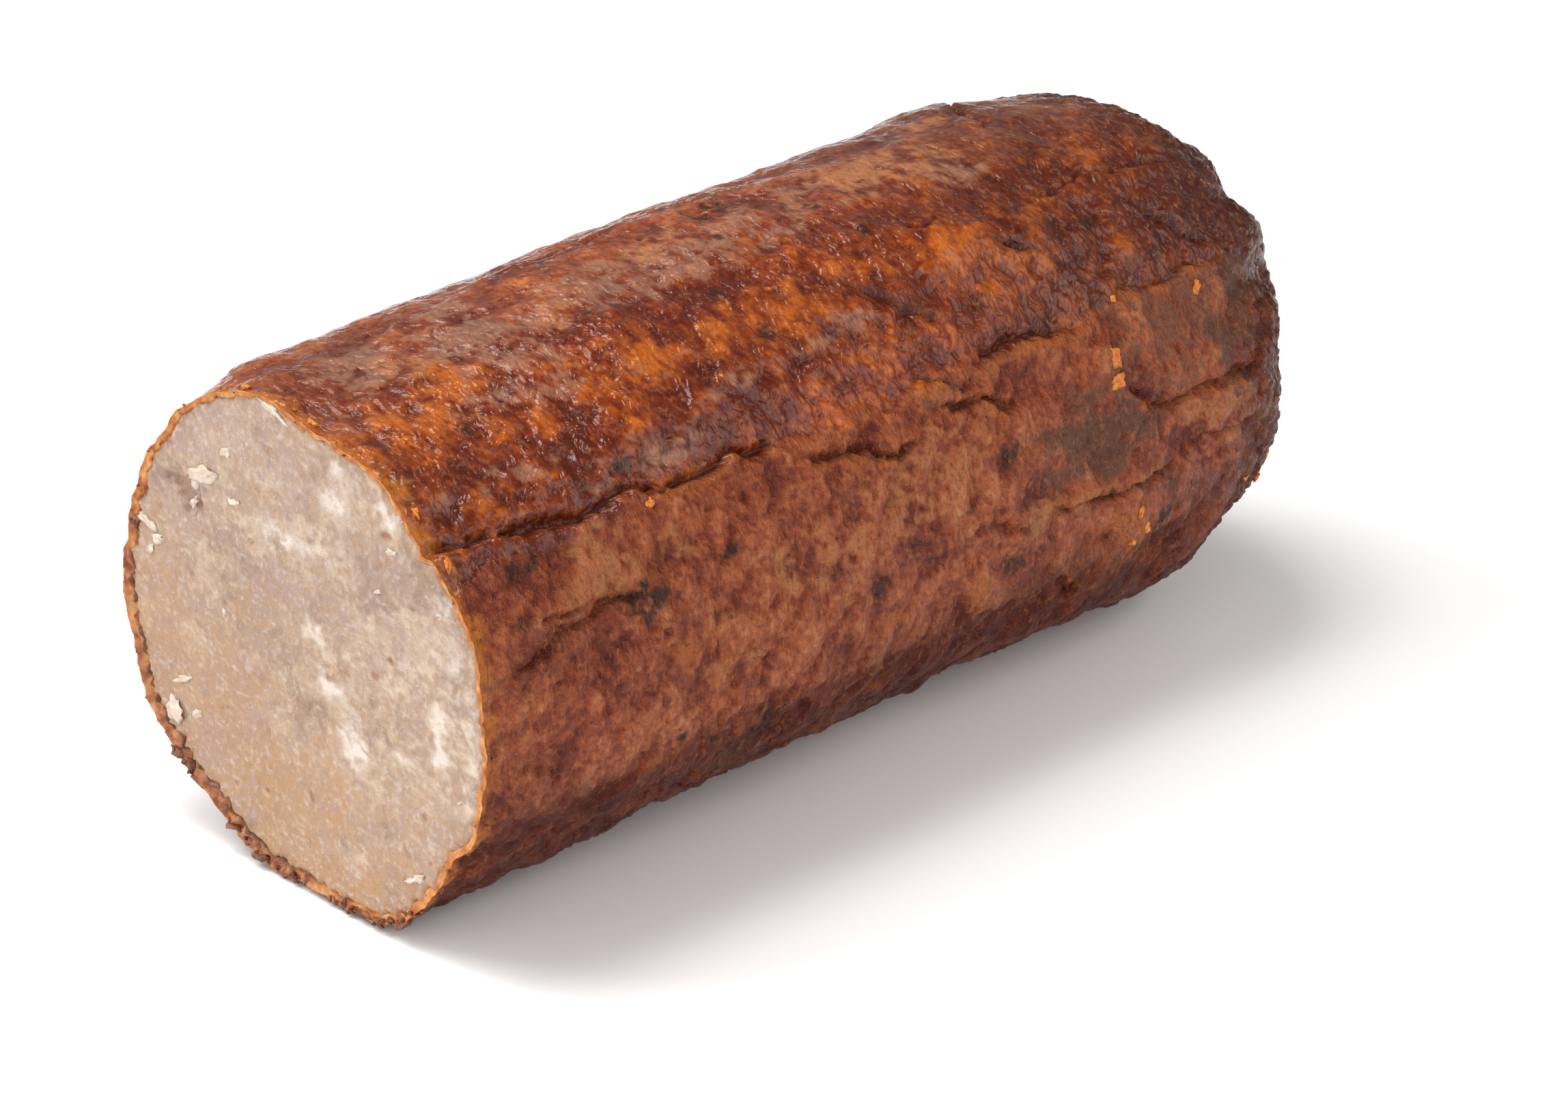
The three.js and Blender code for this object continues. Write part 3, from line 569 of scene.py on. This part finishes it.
def skin_colour(points, s, t, glaze, fine, crease, lip):
    """Base colour of the skin, with painted light and shade in it, and how dry or dusty each place is.
    """
    large = grain(points, 17, 3, 1.3)
    medium = grain(points, 6, 3, 4.6)
    small = grain(points, 2.3, 3, 9.2)
    tiny = grain(points, 1.1, 2, 2.4)
    mottle = medium + small
    orange = blobs(s, t, ORANGE)
    # tan patches, partly painted sheen
    tan_and_sheen = sharpen(blobs(s, t, TAN_AND_SHEEN), mottle, 0.15, 0.8)
    dark = sharpen(blobs(s, t, DARK), mottle, 0.2, 0.95, 0.35)
    grey = sharpen(blobs(s, t, GREY), medium, 0.25, 0.8)
    char = sharpen(blobs(s, t, CHAR), small, 0.3, 0.75, 0.6)

    # the fine terms in these tones follow the fine relief: painted light on its bumps, painted shade in
    # its hollows
    satin_tone = 0.5 + 0.16 * large + 0.12 * medium + 0.14 * small + 0.22 * tiny + 0.36 * fine
    # the lip term paints a highlight, in orange, along the lips of the folds; the orange patches are
    # the skin's own colour
    warm = 0.8 * sharpen(orange + 0.8 * lip, medium, 0.2, 0.9)
    satin = mix(warm, ramp(satin_tone, SATIN_COLOURS), SATIN_ORANGE)
    glazed_tone = 0.38 + 0.22 * large + 0.14 * medium + 0.2 * small + 0.24 * tiny + 0.7 * fine
    glazed_tone += 0.36 * sharpen(orange, medium, 0.1, 0.9)
    upper = ease(*SATIN_TOP_T, t) * (1 - sharpen(orange, medium, 0.1, 0.6))
    deeper = 0.93 - 0.12 * ease(50, 20, s) - 0.36 * ease(118, 165, s)
    deeper -= 0.14 * gauss((t - 128) / 11) * ease(46, 64, s) * ease(140, 118, s)
    glazed = mix(upper * 0.5, ramp(glazed_tone, GLAZE_COLOURS), satin * 1.15) * deeper[..., None]
    colour = glazed * glaze[..., None] + satin * (1 - glaze)[..., None]

    # painted sheen: paler pinkish patches where the wet glaze would reflect the light
    painted_sheen = sharpen(blobs(s, t, PAINTED_SHEEN), mottle, 0.15, 0.8, 0.6) * glaze
    dust = sharpen(blobs(s, t, DUST), mottle, 0.15, 0.9)
    # the underside is darkened: partly a darker crust, partly painted shade
    under = ease(*UNDER_T, t) * ease(*UNDER_FAR_T, t)
    colour = layered(
        colour,
        (0.75 * painted_sheen, PAINTED_SHEEN_COLOUR),
        (0.85 * tan_and_sheen, TAN_AND_SHEEN_COLOUR),
        (0.88 * dust, DUST_COLOUR),
        (0.75 * dark, DARK_COLOUR),
        (ease(*DARK_TIP_S, s) * (0.72 + 0.3 * medium), TIP_COLOUR),
        (under * (0.8 + 0.3 * medium), UNDERSIDE_BROWN_AND_SHADE),
        (0.85 * grey, GREY_COLOUR),
        (0.9 * char, CHAR_COLOUR),
        # painted shade in the creases, fainter towards the tip
        (crease * (0.9 - 0.5 * ease(160, 188, s)), CREASE_SHADE_COLOUR),
        (0.7 * ease(*RIM_S, s + 2 * medium + 1.2 * small), RIM_COLOUR),
    )
    dry = np.clip(0.9 * grey + 0.4 * char + 0.35 * tan_and_sheen + 0.5 * dust + 0.9 * under, 0, 1)
    return colour * SKIN_TINT, dry


def skin_rows():
    """(s, turn) of each ring of the skin, from the cut edge to just short of the tip."""
    body_end = LENGTH - DOME_LENGTH
    s = np.linspace(0, body_end, BODY_ROWS)
    turn = np.linspace(0, math.pi / 2, DOME_ROWS + 1)[1:-1]
    dome = body_end + DOME_LENGTH * np.sin(turn) ** (2 / DOME_POWER)
    return np.r_[s, dome], np.r_[0 * s, turn]


def skin_columns():
    """Angle of each column, closer together on the side that shows."""
    near = np.linspace(NEAR_FROM, NEAR_TO, NEAR_COLUMNS, endpoint=False)
    share = np.linspace(0, 1, FAR_COLUMNS, endpoint=False)
    share = share - FAR_WIDENING * np.sin(2 * math.pi * share) / (2 * math.pi)
    far = NEAR_TO + (NEAR_FROM + 360 - NEAR_TO) * share
    return np.r_[near, far]


# ---- mesh making ----
def shift_to_frame(points):
    """From mm measured at the cut face to metres in the shared frame."""
    low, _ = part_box("sausage")
    return points * MM + np.array([low.x, 0, 0])


def make_object(name, vertices, faces, material, uv=None, colours=None):
    """A smooth mesh; colours are named (rgb, alpha) fields at its vertices."""
    mesh = bpy.data.meshes.new(name)
    mesh.from_pydata(vertices.reshape(-1, 3).tolist(), [], faces)
    if uv is not None:
        layer = mesh.uv_layers.new(name="OFBake")
        layer.data.foreach_set("uv", np.asarray(uv, np.float32).ravel())
    for field_name, (rgb, alpha) in (colours or {}).items():
        attribute = mesh.attributes.new(field_name, "FLOAT_COLOR", "POINT")
        values = np.concatenate([rgb.reshape(-1, 3), alpha.reshape(-1, 1)], -1).clip(0, 1)
        attribute.data.foreach_set("color", values.astype(np.float32).ravel())
    mesh.materials.append(material)
    mesh.shade_smooth()
    mesh.validate()
    piece = bpy.data.objects.new(name, mesh)
    bpy.context.collection.objects.link(piece)
    return piece


def grid_faces(rows, columns, closed=True):
    """Quads of a grid; a closed one joins its last column to the first."""
    across = columns if closed else columns - 1
    i, j = np.meshgrid(np.arange(rows - 1), np.arange(across), indexing="ij")
    low, high, right = i * columns, (i + 1) * columns, (j + 1) % columns
    return np.stack([low + j, low + right, high + right, high + j], -1).reshape(-1, 4)


def ring_uv(along, around):
    """One UV for each corner of a closed grid's faces, with the seam kept straight."""
    corners = np.stack(np.meshgrid(along, np.r_[around, around[0] + 1], indexing="ij"), -1)
    faces = grid_faces(len(along), len(around) + 1, closed=False)
    return corners.reshape(-1, 2)[faces].reshape(-1, 2)


def build_skin(material):
    rows_s, rows_turn = skin_rows()
    columns = skin_columns()
    s, t = np.meshgrid(rows_s, columns % 360, indexing="ij")
    turn = np.repeat(rows_turn[:, None], len(columns), 1)
    points, colour, glaze, dry, crease = skin_fields(s, t, turn)
    rows, count = s.shape

    profile = points[:, count // 2]
    along = np.r_[0, np.cumsum(np.linalg.norm(np.diff(profile, axis=0), axis=1))]
    along *= RINGS_UV / along[-1]
    around = (columns - NEAR_FROM) / 360
    last = (rows - 1) * count
    tip = rows * count
    faces = grid_faces(rows, count).tolist()
    faces += [(last + j, last + (j + 1) % count, tip) for j in range(count)]
    sides = zip(around, np.r_[around[1:], 1])
    tip_uv = [((along[-1], left), (along[-1], right), (1, (left + right) / 2)) for left, right in sides]
    uv = np.concatenate([ring_uv(along, around), np.array(tip_uv).reshape(-1, 2)])

    def with_tip(field):
        flat = field.reshape(rows * count, -1)
        return np.concatenate([flat, flat[-count:].mean(0, keepdims=True)])

    vertices = with_tip(points)
    vertices[-1, 0] = LENGTH
    pebbly, _, far = skin_zones(s, t, glaze)
    finish = np.stack([dry, crease, pebbly], -1)
    colours = {
        "skin_colour": (with_tip(colour), with_tip(glaze)),
        "skin_finish": (with_tip(finish), with_tip(far)),
    }
    return make_object("skin", shift_to_frame(vertices), faces, material, uv, colours), points, s, t


class Rim:
    """The outline of the cut, as seen along X."""

    def __init__(self, ring, turns):
        order = np.argsort(turns)
        self.turns = turns[order]
        self.y, self.z = ring[order, 1], ring[order, 2]

    def inset(self, turns, depth):
        """Outline moved towards the middle by a depth in mm."""
        y, z = (np.interp(turns, self.turns, line, period=360) for line in (self.y, self.z))
        share = 1 - depth / np.hypot(y, z - FACE_CENTRE_Z)
        return y * share, FACE_CENTRE_Z + (z - FACE_CENTRE_Z) * share


def edge_width(turns):
    uneven = 1 + 0.42 * grain(turns[..., None] * (ARC, 0, 0), 4, 3)
    return np.interp(turns % 360, EDGE_T, EDGE_WIDTH) * uneven


def build_crust_edge(material, rim):
    """The cut through the crust: a thin ring, wider and rougher low on the far side."""
    turns = np.linspace(0, 360, EDGE_COLUMNS, endpoint=False)
    width = edge_width(turns)
    wide = ease(1.2, 3, width)
    share = np.repeat(np.array(EDGE_RINGS)[:, None], EDGE_COLUMNS, 1)
    y, z = rim.inset(turns, share * width)
    points = np.stack([0 * y, y, z], -1)
    rough = grain(points, 2, 3)
    inside = ease(0, 0.14, share)
    points[..., 0] = inside * (0.15 + (0.25 + 0.45 * wide) * rough) - 0.25 * gauss((share - 0.08) / 0.1)
    points[..., 0] += ease(0.92, 1.2, share) * (0.6 + 2.4 * wide)
    points[0, :, 0] = 0
    tone = 0.45 + 0.5 * grain(points, 3, 3, 2) + 0.25 * rough
    burnt = gauss(smallest_turn(turns - BURNT_EDGE[0]) / BURNT_EDGE[1])
    colour = layered(
        ramp(tone, EDGE_COLOURS),
        (wide * inside, ramp(tone, WIDE_EDGE_COLOURS, WIDE_EDGE_PLACES)),
        (0.75 * burnt * inside * ease(-0.4, 0.4, rough), DARK_COLOUR),
        # painted shade in the gap between the meat and the wide, set-back part of the crust
        (ease(0.86, 1.04, share) * np.clip(wide * 1.1 - 0.1, 0, 1), GAP_SHADE_COLOUR),
    )
    along = np.array(EDGE_RINGS) / EDGE_RINGS[-1]
    faces = grid_faces(len(EDGE_RINGS), EDGE_COLUMNS)[:, ::-1].tolist()
    uv = ring_uv(along, turns / 360).reshape(-1, 4, 2)[:, ::-1].reshape(-1, 2)
    colours = {"edge_colour": (colour, 0.3 * inside)}
    return make_object("crust_edge", shift_to_frame(points), faces, material, uv, colours)


def disc_grid(cells):
    """Even grid over a disc: (share of the radius, angle in degrees) for each grid point."""
    line = np.linspace(-1, 1, cells + 1)
    v, u = np.meshgrid(line, line, indexing="ij")
    wide = np.abs(u) >= np.abs(v)
    radius = np.where(wide, u, v)
    safe = np.where(radius == 0, 1, radius)
    angle = np.where(wide, 45 * v / safe, 90 - 45 * u / safe)
    return np.abs(radius), np.where(radius < 0, angle + 180, angle) % 360


def build_meat(material, rim):
    """The cut face: fine meat with pits, a hollow, pale fat, and pink, warm and brown patches."""
    share, turns = disc_grid(FACE_CELLS)
    y, z = rim.inset(turns, edge_width(turns) * MEAT_FROM)
    y, z = share * y, FACE_CENTRE_Z + share * (z - FACE_CENTRE_Z)
    flat = np.stack([0 * y, y, z], -1)
    wander = np.stack([0 * y, 1.6 * grain(flat, 5, 3, 3.3), 1.6 * grain(flat, 5, 3, 8.1)], -1)

    def spots(patches, loose=1, wider=1):
        """Sum of soft patches, each (y, z, reach in y, reach in z, strength)."""
        here_y, here_z = y + loose * wander[..., 1], z + loose * wander[..., 2]
        total = 0
        for middle_y, middle_z, reach_y, reach_z, strength in patches:
            soft = strength * gauss((here_y - middle_y) / (wider * reach_y))
            total = total + soft * gauss((here_z - middle_z) / (wider * reach_z))
        return total

    small, tiny = grain(flat, (1, 2.4, 1.7), 3, 1.9), grain(flat, (1, 1.1, 0.8), 2, 5.5)
    rough_spot = spots(ROUGH_SPOTS).clip(0, 1)
    depth = 0.1 * grain(flat, (1, 6, 9), 3) + 0.07 * small + 0.05 * tiny
    depth += rough_spot * 0.22 * grain(flat, 1.1, 2, 7)
    depth += 0.6 * spots(PITS, 0.3) - 0.2 * spots(PITS, 0.3, 1.7)
    middle_y, middle_z, reach, across, slant, deep = HOLLOW
    from_y, from_z = y + wander[..., 1] - middle_y, z + wander[..., 2] - middle_z
    cos, sin = math.cos(math.radians(slant)), math.sin(math.radians(slant))
    along, aside = from_y * cos + from_z * sin, from_z * cos - from_y * sin
    hollow = gauss((along / reach) ** 2) * gauss((aside / across) ** 2)
    depth += deep * hollow
    border = (1 - share) * FACE_RADIUS
    depth += 0.35 * ease(1, 0, border) + 0.25 * ease(4, 0, border) * small

    swirled = flat + 2.2 * wander
    medium = grain(swirled, (1, 7, 4.5), 3, 0.7)
    large = grain(swirled, (1, 16, 11), 3, 2.7)
    white = ease(0.08, 1.25, spots(WHITE_FAT) * (1 + 0.4 * medium + 0.25 * small))
    warm, pink = (sharpen(spots(tint), medium + small, 0.1, 0.9) for tint in (WARM_TINT, PINK_TINT))
    brown = spots(BROWN_SPOTS, 0.35)
    brown = ease(0.25, 0.8, brown + 0.25 * small * ease(0.1, 0.3, brown))
    tone = 0.5 + 0.22 * large + 0.3 * medium + 0.16 * small + 0.1 * tiny
    blush = ease(0.05, 0.65, grain(swirled, (1, 6, 4.5), 3, 5.9))
    colour = layered(
        ramp(tone, MEAT_COLOURS),
        (0.5 * ease(64, 12, z - 0.25 * y) * (1 + 0.6 * medium), MEAT_WARM),
        (0.55 * blush, MEAT_PINK),
        (0.85 * pink, MEAT_PINK),
        (0.45 * warm, MEAT_WARM),
        (0.75 * white, MEAT_WHITE),
        (0.2 * ease(0.45, 0.95, grain(flat, (1, 1.8, 1.1), 2, 4.2)), MEAT_WHITE),
        (0.38 * ease(0.5, 0.95, grain(flat, 1.7, 2, 6.6)), MEAT_ORANGE),
        (0.3 * rough_spot * ease(-0.2, 0.4, -small), MEAT_BROWN),
        (0.75 * brown, MEAT_BROWN),
        (0.55 * ease(1.4, 0.1, border), MEAT_ORANGE),
        # painted shadow in the hollow
        (0.45 * hollow, MEAT_HOLLOW_SHADE),
    )
    points = np.stack([MEAT_RECESS + depth, y, z], -1)
    size = FACE_CELLS + 1
    faces = grid_faces(size, size, closed=False)
    uv = np.stack([y / FACE_UV_SPAN + 0.5, z / FACE_UV_SPAN], -1).reshape(-1, 2)[faces]
    colours = {"meat_colour": (colour * MEAT_TINT, white)}
    return make_object("cut_meat", shift_to_frame(points), faces.tolist(), material, uv, colours)


def lumps_mesh(name, lumps, material, field_name, shades, detail=3):
    """One mesh of many small lumps, each (centre, half sizes, turn as a 3 x 3 matrix)."""
    ball = bmesh.new()
    bmesh.ops.create_icosphere(ball, subdivisions=detail, radius=1)
    unit = np.array([vertex.co[:] for vertex in ball.verts])
    triangles = np.array([[vertex.index for vertex in face.verts] for face in ball.faces])
    ball.free()
    vertices, faces, tones = [], [], []
    for number, (centre, sizes, turned) in enumerate(lumps):
        roll = 3.7 * number
        swell = 1 + 0.55 * grain(unit, 0.9, 4, roll)[:, None]
        local = unit * swell * np.asarray(sizes)
        vertices.append(local @ np.asarray(turned).T + centre)
        faces.append(triangles + len(unit) * number)
        tones.append(0.5 + 0.5 * grain(unit, 0.8, 2, roll + 1))
    points = shift_to_frame(np.concatenate(vertices))
    tone = np.concatenate(tones)
    colours = {field_name: (ramp(tone, shades), 0 * tone)}
    return make_object(name, points, np.concatenate(faces).tolist(), material, None, colours)


def tilted(slant, tip=0, roll=0):
    """Turn about X by the slant, then tipped and rolled, all in degrees."""
    turned = Matrix.Rotation(-math.radians(slant), 3, "X")
    tipped = turned @ Matrix.Rotation(math.radians(tip), 3, "Y")
    return tipped @ Matrix.Rotation(math.radians(roll), 3, "Z")


def build_crust_crumbs(material, rim):
    """Ragged flakes and crumbs of crust round the cut, most of them low down."""
    chance = np.random.default_rng(CRUMB_SEED)
    lumps = []
    for t, proud, along, across in RIM_FLAKES:
        y, z = rim.inset(t % 360, 0.4 - proud)
        centre = (chance.uniform(-0.3, 1.2), y, max(z, across))
        turned = tilted(-t + chance.uniform(40, 140), 20)
        lumps.append((centre, (across, 1.25 * along, 1.15 * across), turned))
    for t_from, t_to, count, largest in RIM_CRUMBS:
        for _ in range(count):
            y, z = rim.inset(chance.uniform(t_from, t_to) % 360, chance.uniform(-0.25, 1.1))
            size = largest * chance.uniform(0.35, 1)
            turned = tilted(*chance.uniform(-90, 90, 3))
            centre = (chance.uniform(-0.3, 2), y, max(z, 0.4 * size))
            lumps.append((centre, (0.6 * size, size, 0.6 * size), turned))
    return lumps_mesh("crust_crumbs", lumps, material, "edge_colour", CRUMB_COLOURS, 2)


def build_orange_flakes(material, points, s, t):
    """Small orange flakes stuck to the skin, each lying on the nearest point of it."""
    lumps = []
    for at_s, at_t, along, around, slant in ORANGE_FLAKES:
        distance = np.hypot(s - at_s, smallest_turn(t - at_t))
        row, column = np.unravel_index(np.argmin(distance), s.shape)
        here = points[row, column]
        run = np.array((1.0, 0, 0))
        if row > 2:
            run = points[min(row + 3, len(s) - 1), column] - points[row - 3, column]
        side = points[row, column + 3] - points[row, column - 3]
        out = Vector(np.cross(side, run)).normalized()
        ahead = Vector(run).normalized()
        axes = Matrix((ahead, out.cross(ahead), out)).transposed()
        turned = axes @ Matrix.Rotation(math.radians(slant), 3, "Z")
        if out.dot(Vector(here - (here[0], 0, FACE_CENTRE_Z))) <= 0:
            out = -out
        lumps.append((here + 0.2 * np.array(out), (along, around, 0.45), turned))
    return lumps_mesh("orange_flakes", lumps, material, "edge_colour", FLAKE_COLOURS)


def build_pale_bits(material):
    """Crumbs and torn flecks of meat lying on the cut face."""
    lumps = []
    for y, z, along, across, thick, slant in PALE_BITS:
        lumps.append(((MEAT_RECESS + 0.1, y, z), (0.7 * thick, along, across), tilted(slant)))
    y, z, along, across, slant = RIM_FLAP
    lumps.append(((0.45, y, z), (0.5, along, across), tilted(slant)))
    return lumps_mesh("pale_bits", lumps, material, "meat_colour", BIT_COLOURS)


# ---- node helpers ----
class Nodes:
    """Short calls for building the nodes of a material or of the world."""

    def __init__(self, owner, result):
        owner.use_nodes = True
        self.owner = owner
        self.tree = owner.node_tree
        self.result = self.tree.nodes[result]

    def add(self, kind, inputs, **settings):
        """A new node; inputs are values or fields, by name or number of the socket."""
        made = self.tree.nodes.new("ShaderNode" + kind)
        for key, value in settings.items():
            setattr(made, key, value)
        for key, value in inputs.items():
            self.feed(made.inputs[key], value)
        return made

    def feed(self, socket, value):
        if isinstance(value, bpy.types.NodeSocket):
            self.tree.links.new(value, socket)
        elif socket.type == "RGBA":
            socket.default_value = (*value, 1)
        else:
            socket.default_value = value

    def put(self, name, value):
        """Feed a socket of the shader that takes the results."""
        self.feed(self.result.inputs[name], value)

    def field(self, name):
        attribute = self.add("Attribute", {}, attribute_name=name)
        return attribute.outputs["Color"], attribute.outputs["Alpha"]

    def place(self, stretch=1):
        """Object position in mm, with the noise on it drawn out across X by the stretch."""
        where = self.add("TexCoord", {}).outputs["Object"]
        scale = [1 / MM / factor for factor in (1, stretch, stretch)]
        return self.add("Mapping", {"Vector": where, "Scale": scale}).outputs[0]

    def noise(self, where, size, detail, rough=0.55, distort=0):
        inputs = {"Vector": where, "Scale": 1 / size, "Detail": detail, "Roughness": rough}
        made = self.add("TexNoise", {**inputs, "Distortion": distort})
        return made.outputs["Fac"]

    def cells(self, where, size):
        return self.add("TexVoronoi", {"Vector": where, "Scale": 1 / size}).outputs["Distance"]

    def lines(self, where, size, width):
        """Thin winding lines, 1 on the line and 0 away from it."""
        level = self.math("SUBTRACT", self.noise(where, size, 2, 0.5, 1), 0.5)
        return self.ramp(self.math("ABSOLUTE", level), 0, width, 1, 0)

    def math(self, operation, *values):
        return self.add("Math", dict(enumerate(values)), operation=operation).outputs[0]

    def times(self, a, b):
        return self.math("MULTIPLY", a, b)

    def total(self, *parts):
        """Sum of (value, weight) parts; a weight may be a number or a field."""
        result = 0
        for value, weight in parts:
            result = self.math("MULTIPLY_ADD", value, weight, result)
        return result

    def ramp(self, value, low, high, at_low=0, at_high=1):
        inputs = dict(enumerate((value, low, high, at_low, at_high)))
        return self.add("MapRange", inputs, interpolation_type="SMOOTHSTEP").outputs[0]

    def mix(self, share, a, b):
        return self.add("Mix", {"Factor": share, 6: a, 7: b}, data_type="RGBA").outputs[2]

    def bump(self, height, distance, *sockets):
        made = self.add("Bump", {"Strength": 1, "Distance": distance, "Height": height})
        for name in sockets:
            self.put(name, made.outputs[0])


# ---- materials ----
def new_material(name):
    return Nodes(bpy.data.materials.new(name), "Principled BSDF")


def skin_material():
    """Browned skin: glazed above, satin below, duller where it is grey, burnt or creased."""
    sh = new_material("browned_skin")
    base, glaze = sh.field("skin_colour")
    finish, far = sh.field("skin_finish")
    dry, crease, pebbly = sh.add("SeparateColor", {0: finish}).outputs[:3]
    satin = sh.math("SUBTRACT", 1, glaze)
    here, drawn, across = sh.place(), sh.place(1.5), sh.place(2.6)

    # heights, as shares of the depth of the bump
    fine = sh.noise(drawn, 0.85, 3, 0.64)
    faint = sh.noise(here, 0.36, 0)
    streaks = sh.noise(across, 1.5, 2, 0.6)
    ripples = sh.noise(drawn, 2.8, 2, 0.45, 1)
    wrinkles = sh.times(sh.lines(across, 4, 0.045), sh.ramp(streaks, 0.42, 0.58))
    pebbles = sh.total((sh.cells(here, 2.5), -0.4), (sh.cells(here, 1.25), -0.24))
    grainy = sh.total((fine, 0.6), (streaks, 0.4))
    rough_part = sh.total((streaks, 1.3), (fine, 0.8), (faint, 0.3), (wrinkles, -0.2))
    smooth_part = sh.total((ripples, 1.1), (fine, 0.07), (wrinkles, -0.08), (pebbles, pebbly))
    height = sh.total((rough_part, satin), (smooth_part, glaze), (ripples, far))
    sh.bump(height, SKIN_BUMP, "Normal", "Coat Normal")

    # colour follows the height: painted shade, dark red, in the hollows and wrinkles, and orange flecks
    # that are partly painted light on the proud grains
    proud = sh.times(sh.ramp(grainy, 0.5, 0.68), 0.48)
    colour = sh.mix(proud, base, sh.mix(0.5, base, FLECK_AND_LIGHT_COLOUR))
    sunk_shade = sh.total((sh.ramp(grainy, 0.52, 0.34), 0.75), (wrinkles, 0.3))
    colour = sh.mix(sunk_shade, colour, sh.mix(0.62, colour, SUNK_SHADE_COLOUR))
    pores = sh.times(sh.ramp(sh.cells(drawn, 2.4), 0.2, 0.06), sh.ramp(faint, 0.4, 0.55))
    sh.put("Base Color", sh.mix(sh.times(pores, 0.55), colour, PORE_COLOUR))

    dull = sh.math("MAXIMUM", sh.math("MAXIMUM", dry, crease), sh.times(far, 0.45))
    rough = sh.math("MULTIPLY_ADD", fine, 0.12, sh.ramp(glaze, 0, 1, 0.36, 0.34))
    sh.put("Roughness", sh.math("MULTIPLY_ADD", dull, 0.12, rough))
    wet = sh.math("MULTIPLY_ADD", dull, -0.8, 1)
    sh.put("Coat Weight", sh.times(sh.ramp(glaze, 0, 1, 0.38, 0.85), wet))
    sh.put("Coat Roughness", 0.06)
    sh.put("Coat IOR", 1.36)
    sh.put("Specular IOR Level", 0.13)
    return sh.owner


def crumbly_material(name, field_name, roughness, scatter, speckle):
    """Cut or torn stuff: its own colour, mottled and a little uneven."""
    sh = new_material(name)
    base, _ = sh.field(field_name)
    here = sh.place()
    middle = sh.noise(here, 1.3, 4, 0.62)
    fine = sh.noise(here, 0.38, 3, 0.6)
    pale = sh.ramp(middle, 0.5, 0.72, 0, speckle)
    dark = sh.ramp(fine, 0.48, 0.3, 0, speckle)
    colour = sh.mix(pale, base, sh.mix(0.45, base, PALE_SPECK))
    sh.put("Base Color", sh.mix(dark, colour, sh.mix(0.45, colour, DARK_SPECK)))
    sh.bump(sh.math("MULTIPLY_ADD", fine, 0.5, middle), CRUMBLY_BUMP, "Normal")
    sh.put("Roughness", sh.ramp(middle, 0.3, 0.7, roughness - 0.06, roughness + 0.08))
    sh.put("Subsurface Weight", scatter)
    sh.put("Subsurface Radius", (1, 0.5, 0.3))
    sh.put("Subsurface Scale", 2 * MM)
    return sh.owner


def floor_material():
    sh = new_material("pale_floor")
    sh.put("Base Color", FLOOR_COLOUR)
    sh.put("Roughness", 0.6)
    return sh.owner


# ---- stage ----
def build_floor():
    corners = FLOOR_REACH * np.array([(-1, -1, 0), (1, -1, 0), (1, 1, 0), (-1, 1, 0)])
    floor = make_object("floor", corners, [(0, 1, 2, 3)], floor_material())
    floor.location.z = FLOOR_HEIGHT


def add_aimed(name, data, at, aim):
    """Add a light or the camera, turned so that it looks at the aim."""
    made = bpy.data.objects.new(name, data)
    made.location = at
    made.rotation_mode = "QUATERNION"
    made.rotation_quaternion = (Vector(aim) - Vector(at)).to_track_quat("-Z", "Y")
    bpy.context.collection.objects.link(made)
    return made


def build_lights():
    for name, at, size, power, tint in LIGHTS:
        data = bpy.data.lights.new(name, "AREA")
        data.shape = "RECTANGLE"
        data.size, data.size_y = size
        data.energy = power
        data.color = tint
        add_aimed(name, data, at, LIGHTS_AIM)


def build_world():
    """Bright on the side that the cut faces, dim on the other side and straight above."""
    world = bpy.data.worlds.new("studio")
    bpy.context.scene.world = world
    nodes = Nodes(world, "Background")
    direction = nodes.add("TexCoord", {}).outputs["Generated"]

    def fade(way, ends, levels):
        """Level that goes from one value to another along a direction."""
        dot = nodes.add("VectorMath", {0: direction, 1: way}, operation="DOT_PRODUCT")
        return nodes.ramp(dot.outputs["Value"], *ends, *levels)

    level = fade(BRIGHT_WAY, (-0.35, 0.3), (BACK_LEVEL, FRONT_LEVEL))
    level = nodes.times(level, fade((0, 0, 1), (0, 0.25), (HORIZON_LEVEL, 1)))
    level = nodes.times(level, fade((0, 0, 1), (0.7, 0.92), (1, TOP_LEVEL)))
    nodes.put("Color", (1, 1, 1))
    nodes.put("Strength", level)


def build_camera():
    data = bpy.data.cameras.new("camera")
    data.lens = CAMERA_LENS
    data.sensor_width = 36
    bpy.context.scene.camera = add_aimed("camera", data, CAMERA_AT, CAMERA_LOOKS_AT)


build_camera()
build_world()
build_lights()
build_floor()
bpy.context.scene.view_settings.view_transform = "Standard"

skin, skin_points, skin_s, skin_t = build_skin(skin_material())
rim = Rim(skin_points[0], skin_t[0])
crust_stuff = crumbly_material("cut_crust", "edge_colour", 0.5, 0.1, 0.15)
edge = build_crust_edge(crust_stuff, rim)
crumbs = build_crust_crumbs(crust_stuff, rim)
flakes = build_orange_flakes(crust_stuff, skin_points, skin_s, skin_t)
cut_stuff = crumbly_material("cut_meat", "meat_colour", 0.4, 0.25, 0.5)
meat = build_meat(cut_stuff, rim)
bits = build_pale_bits(cut_stuff)
for made in (skin, edge, crumbs, flakes, meat, bits):
    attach(made, "root")
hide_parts("sausage")
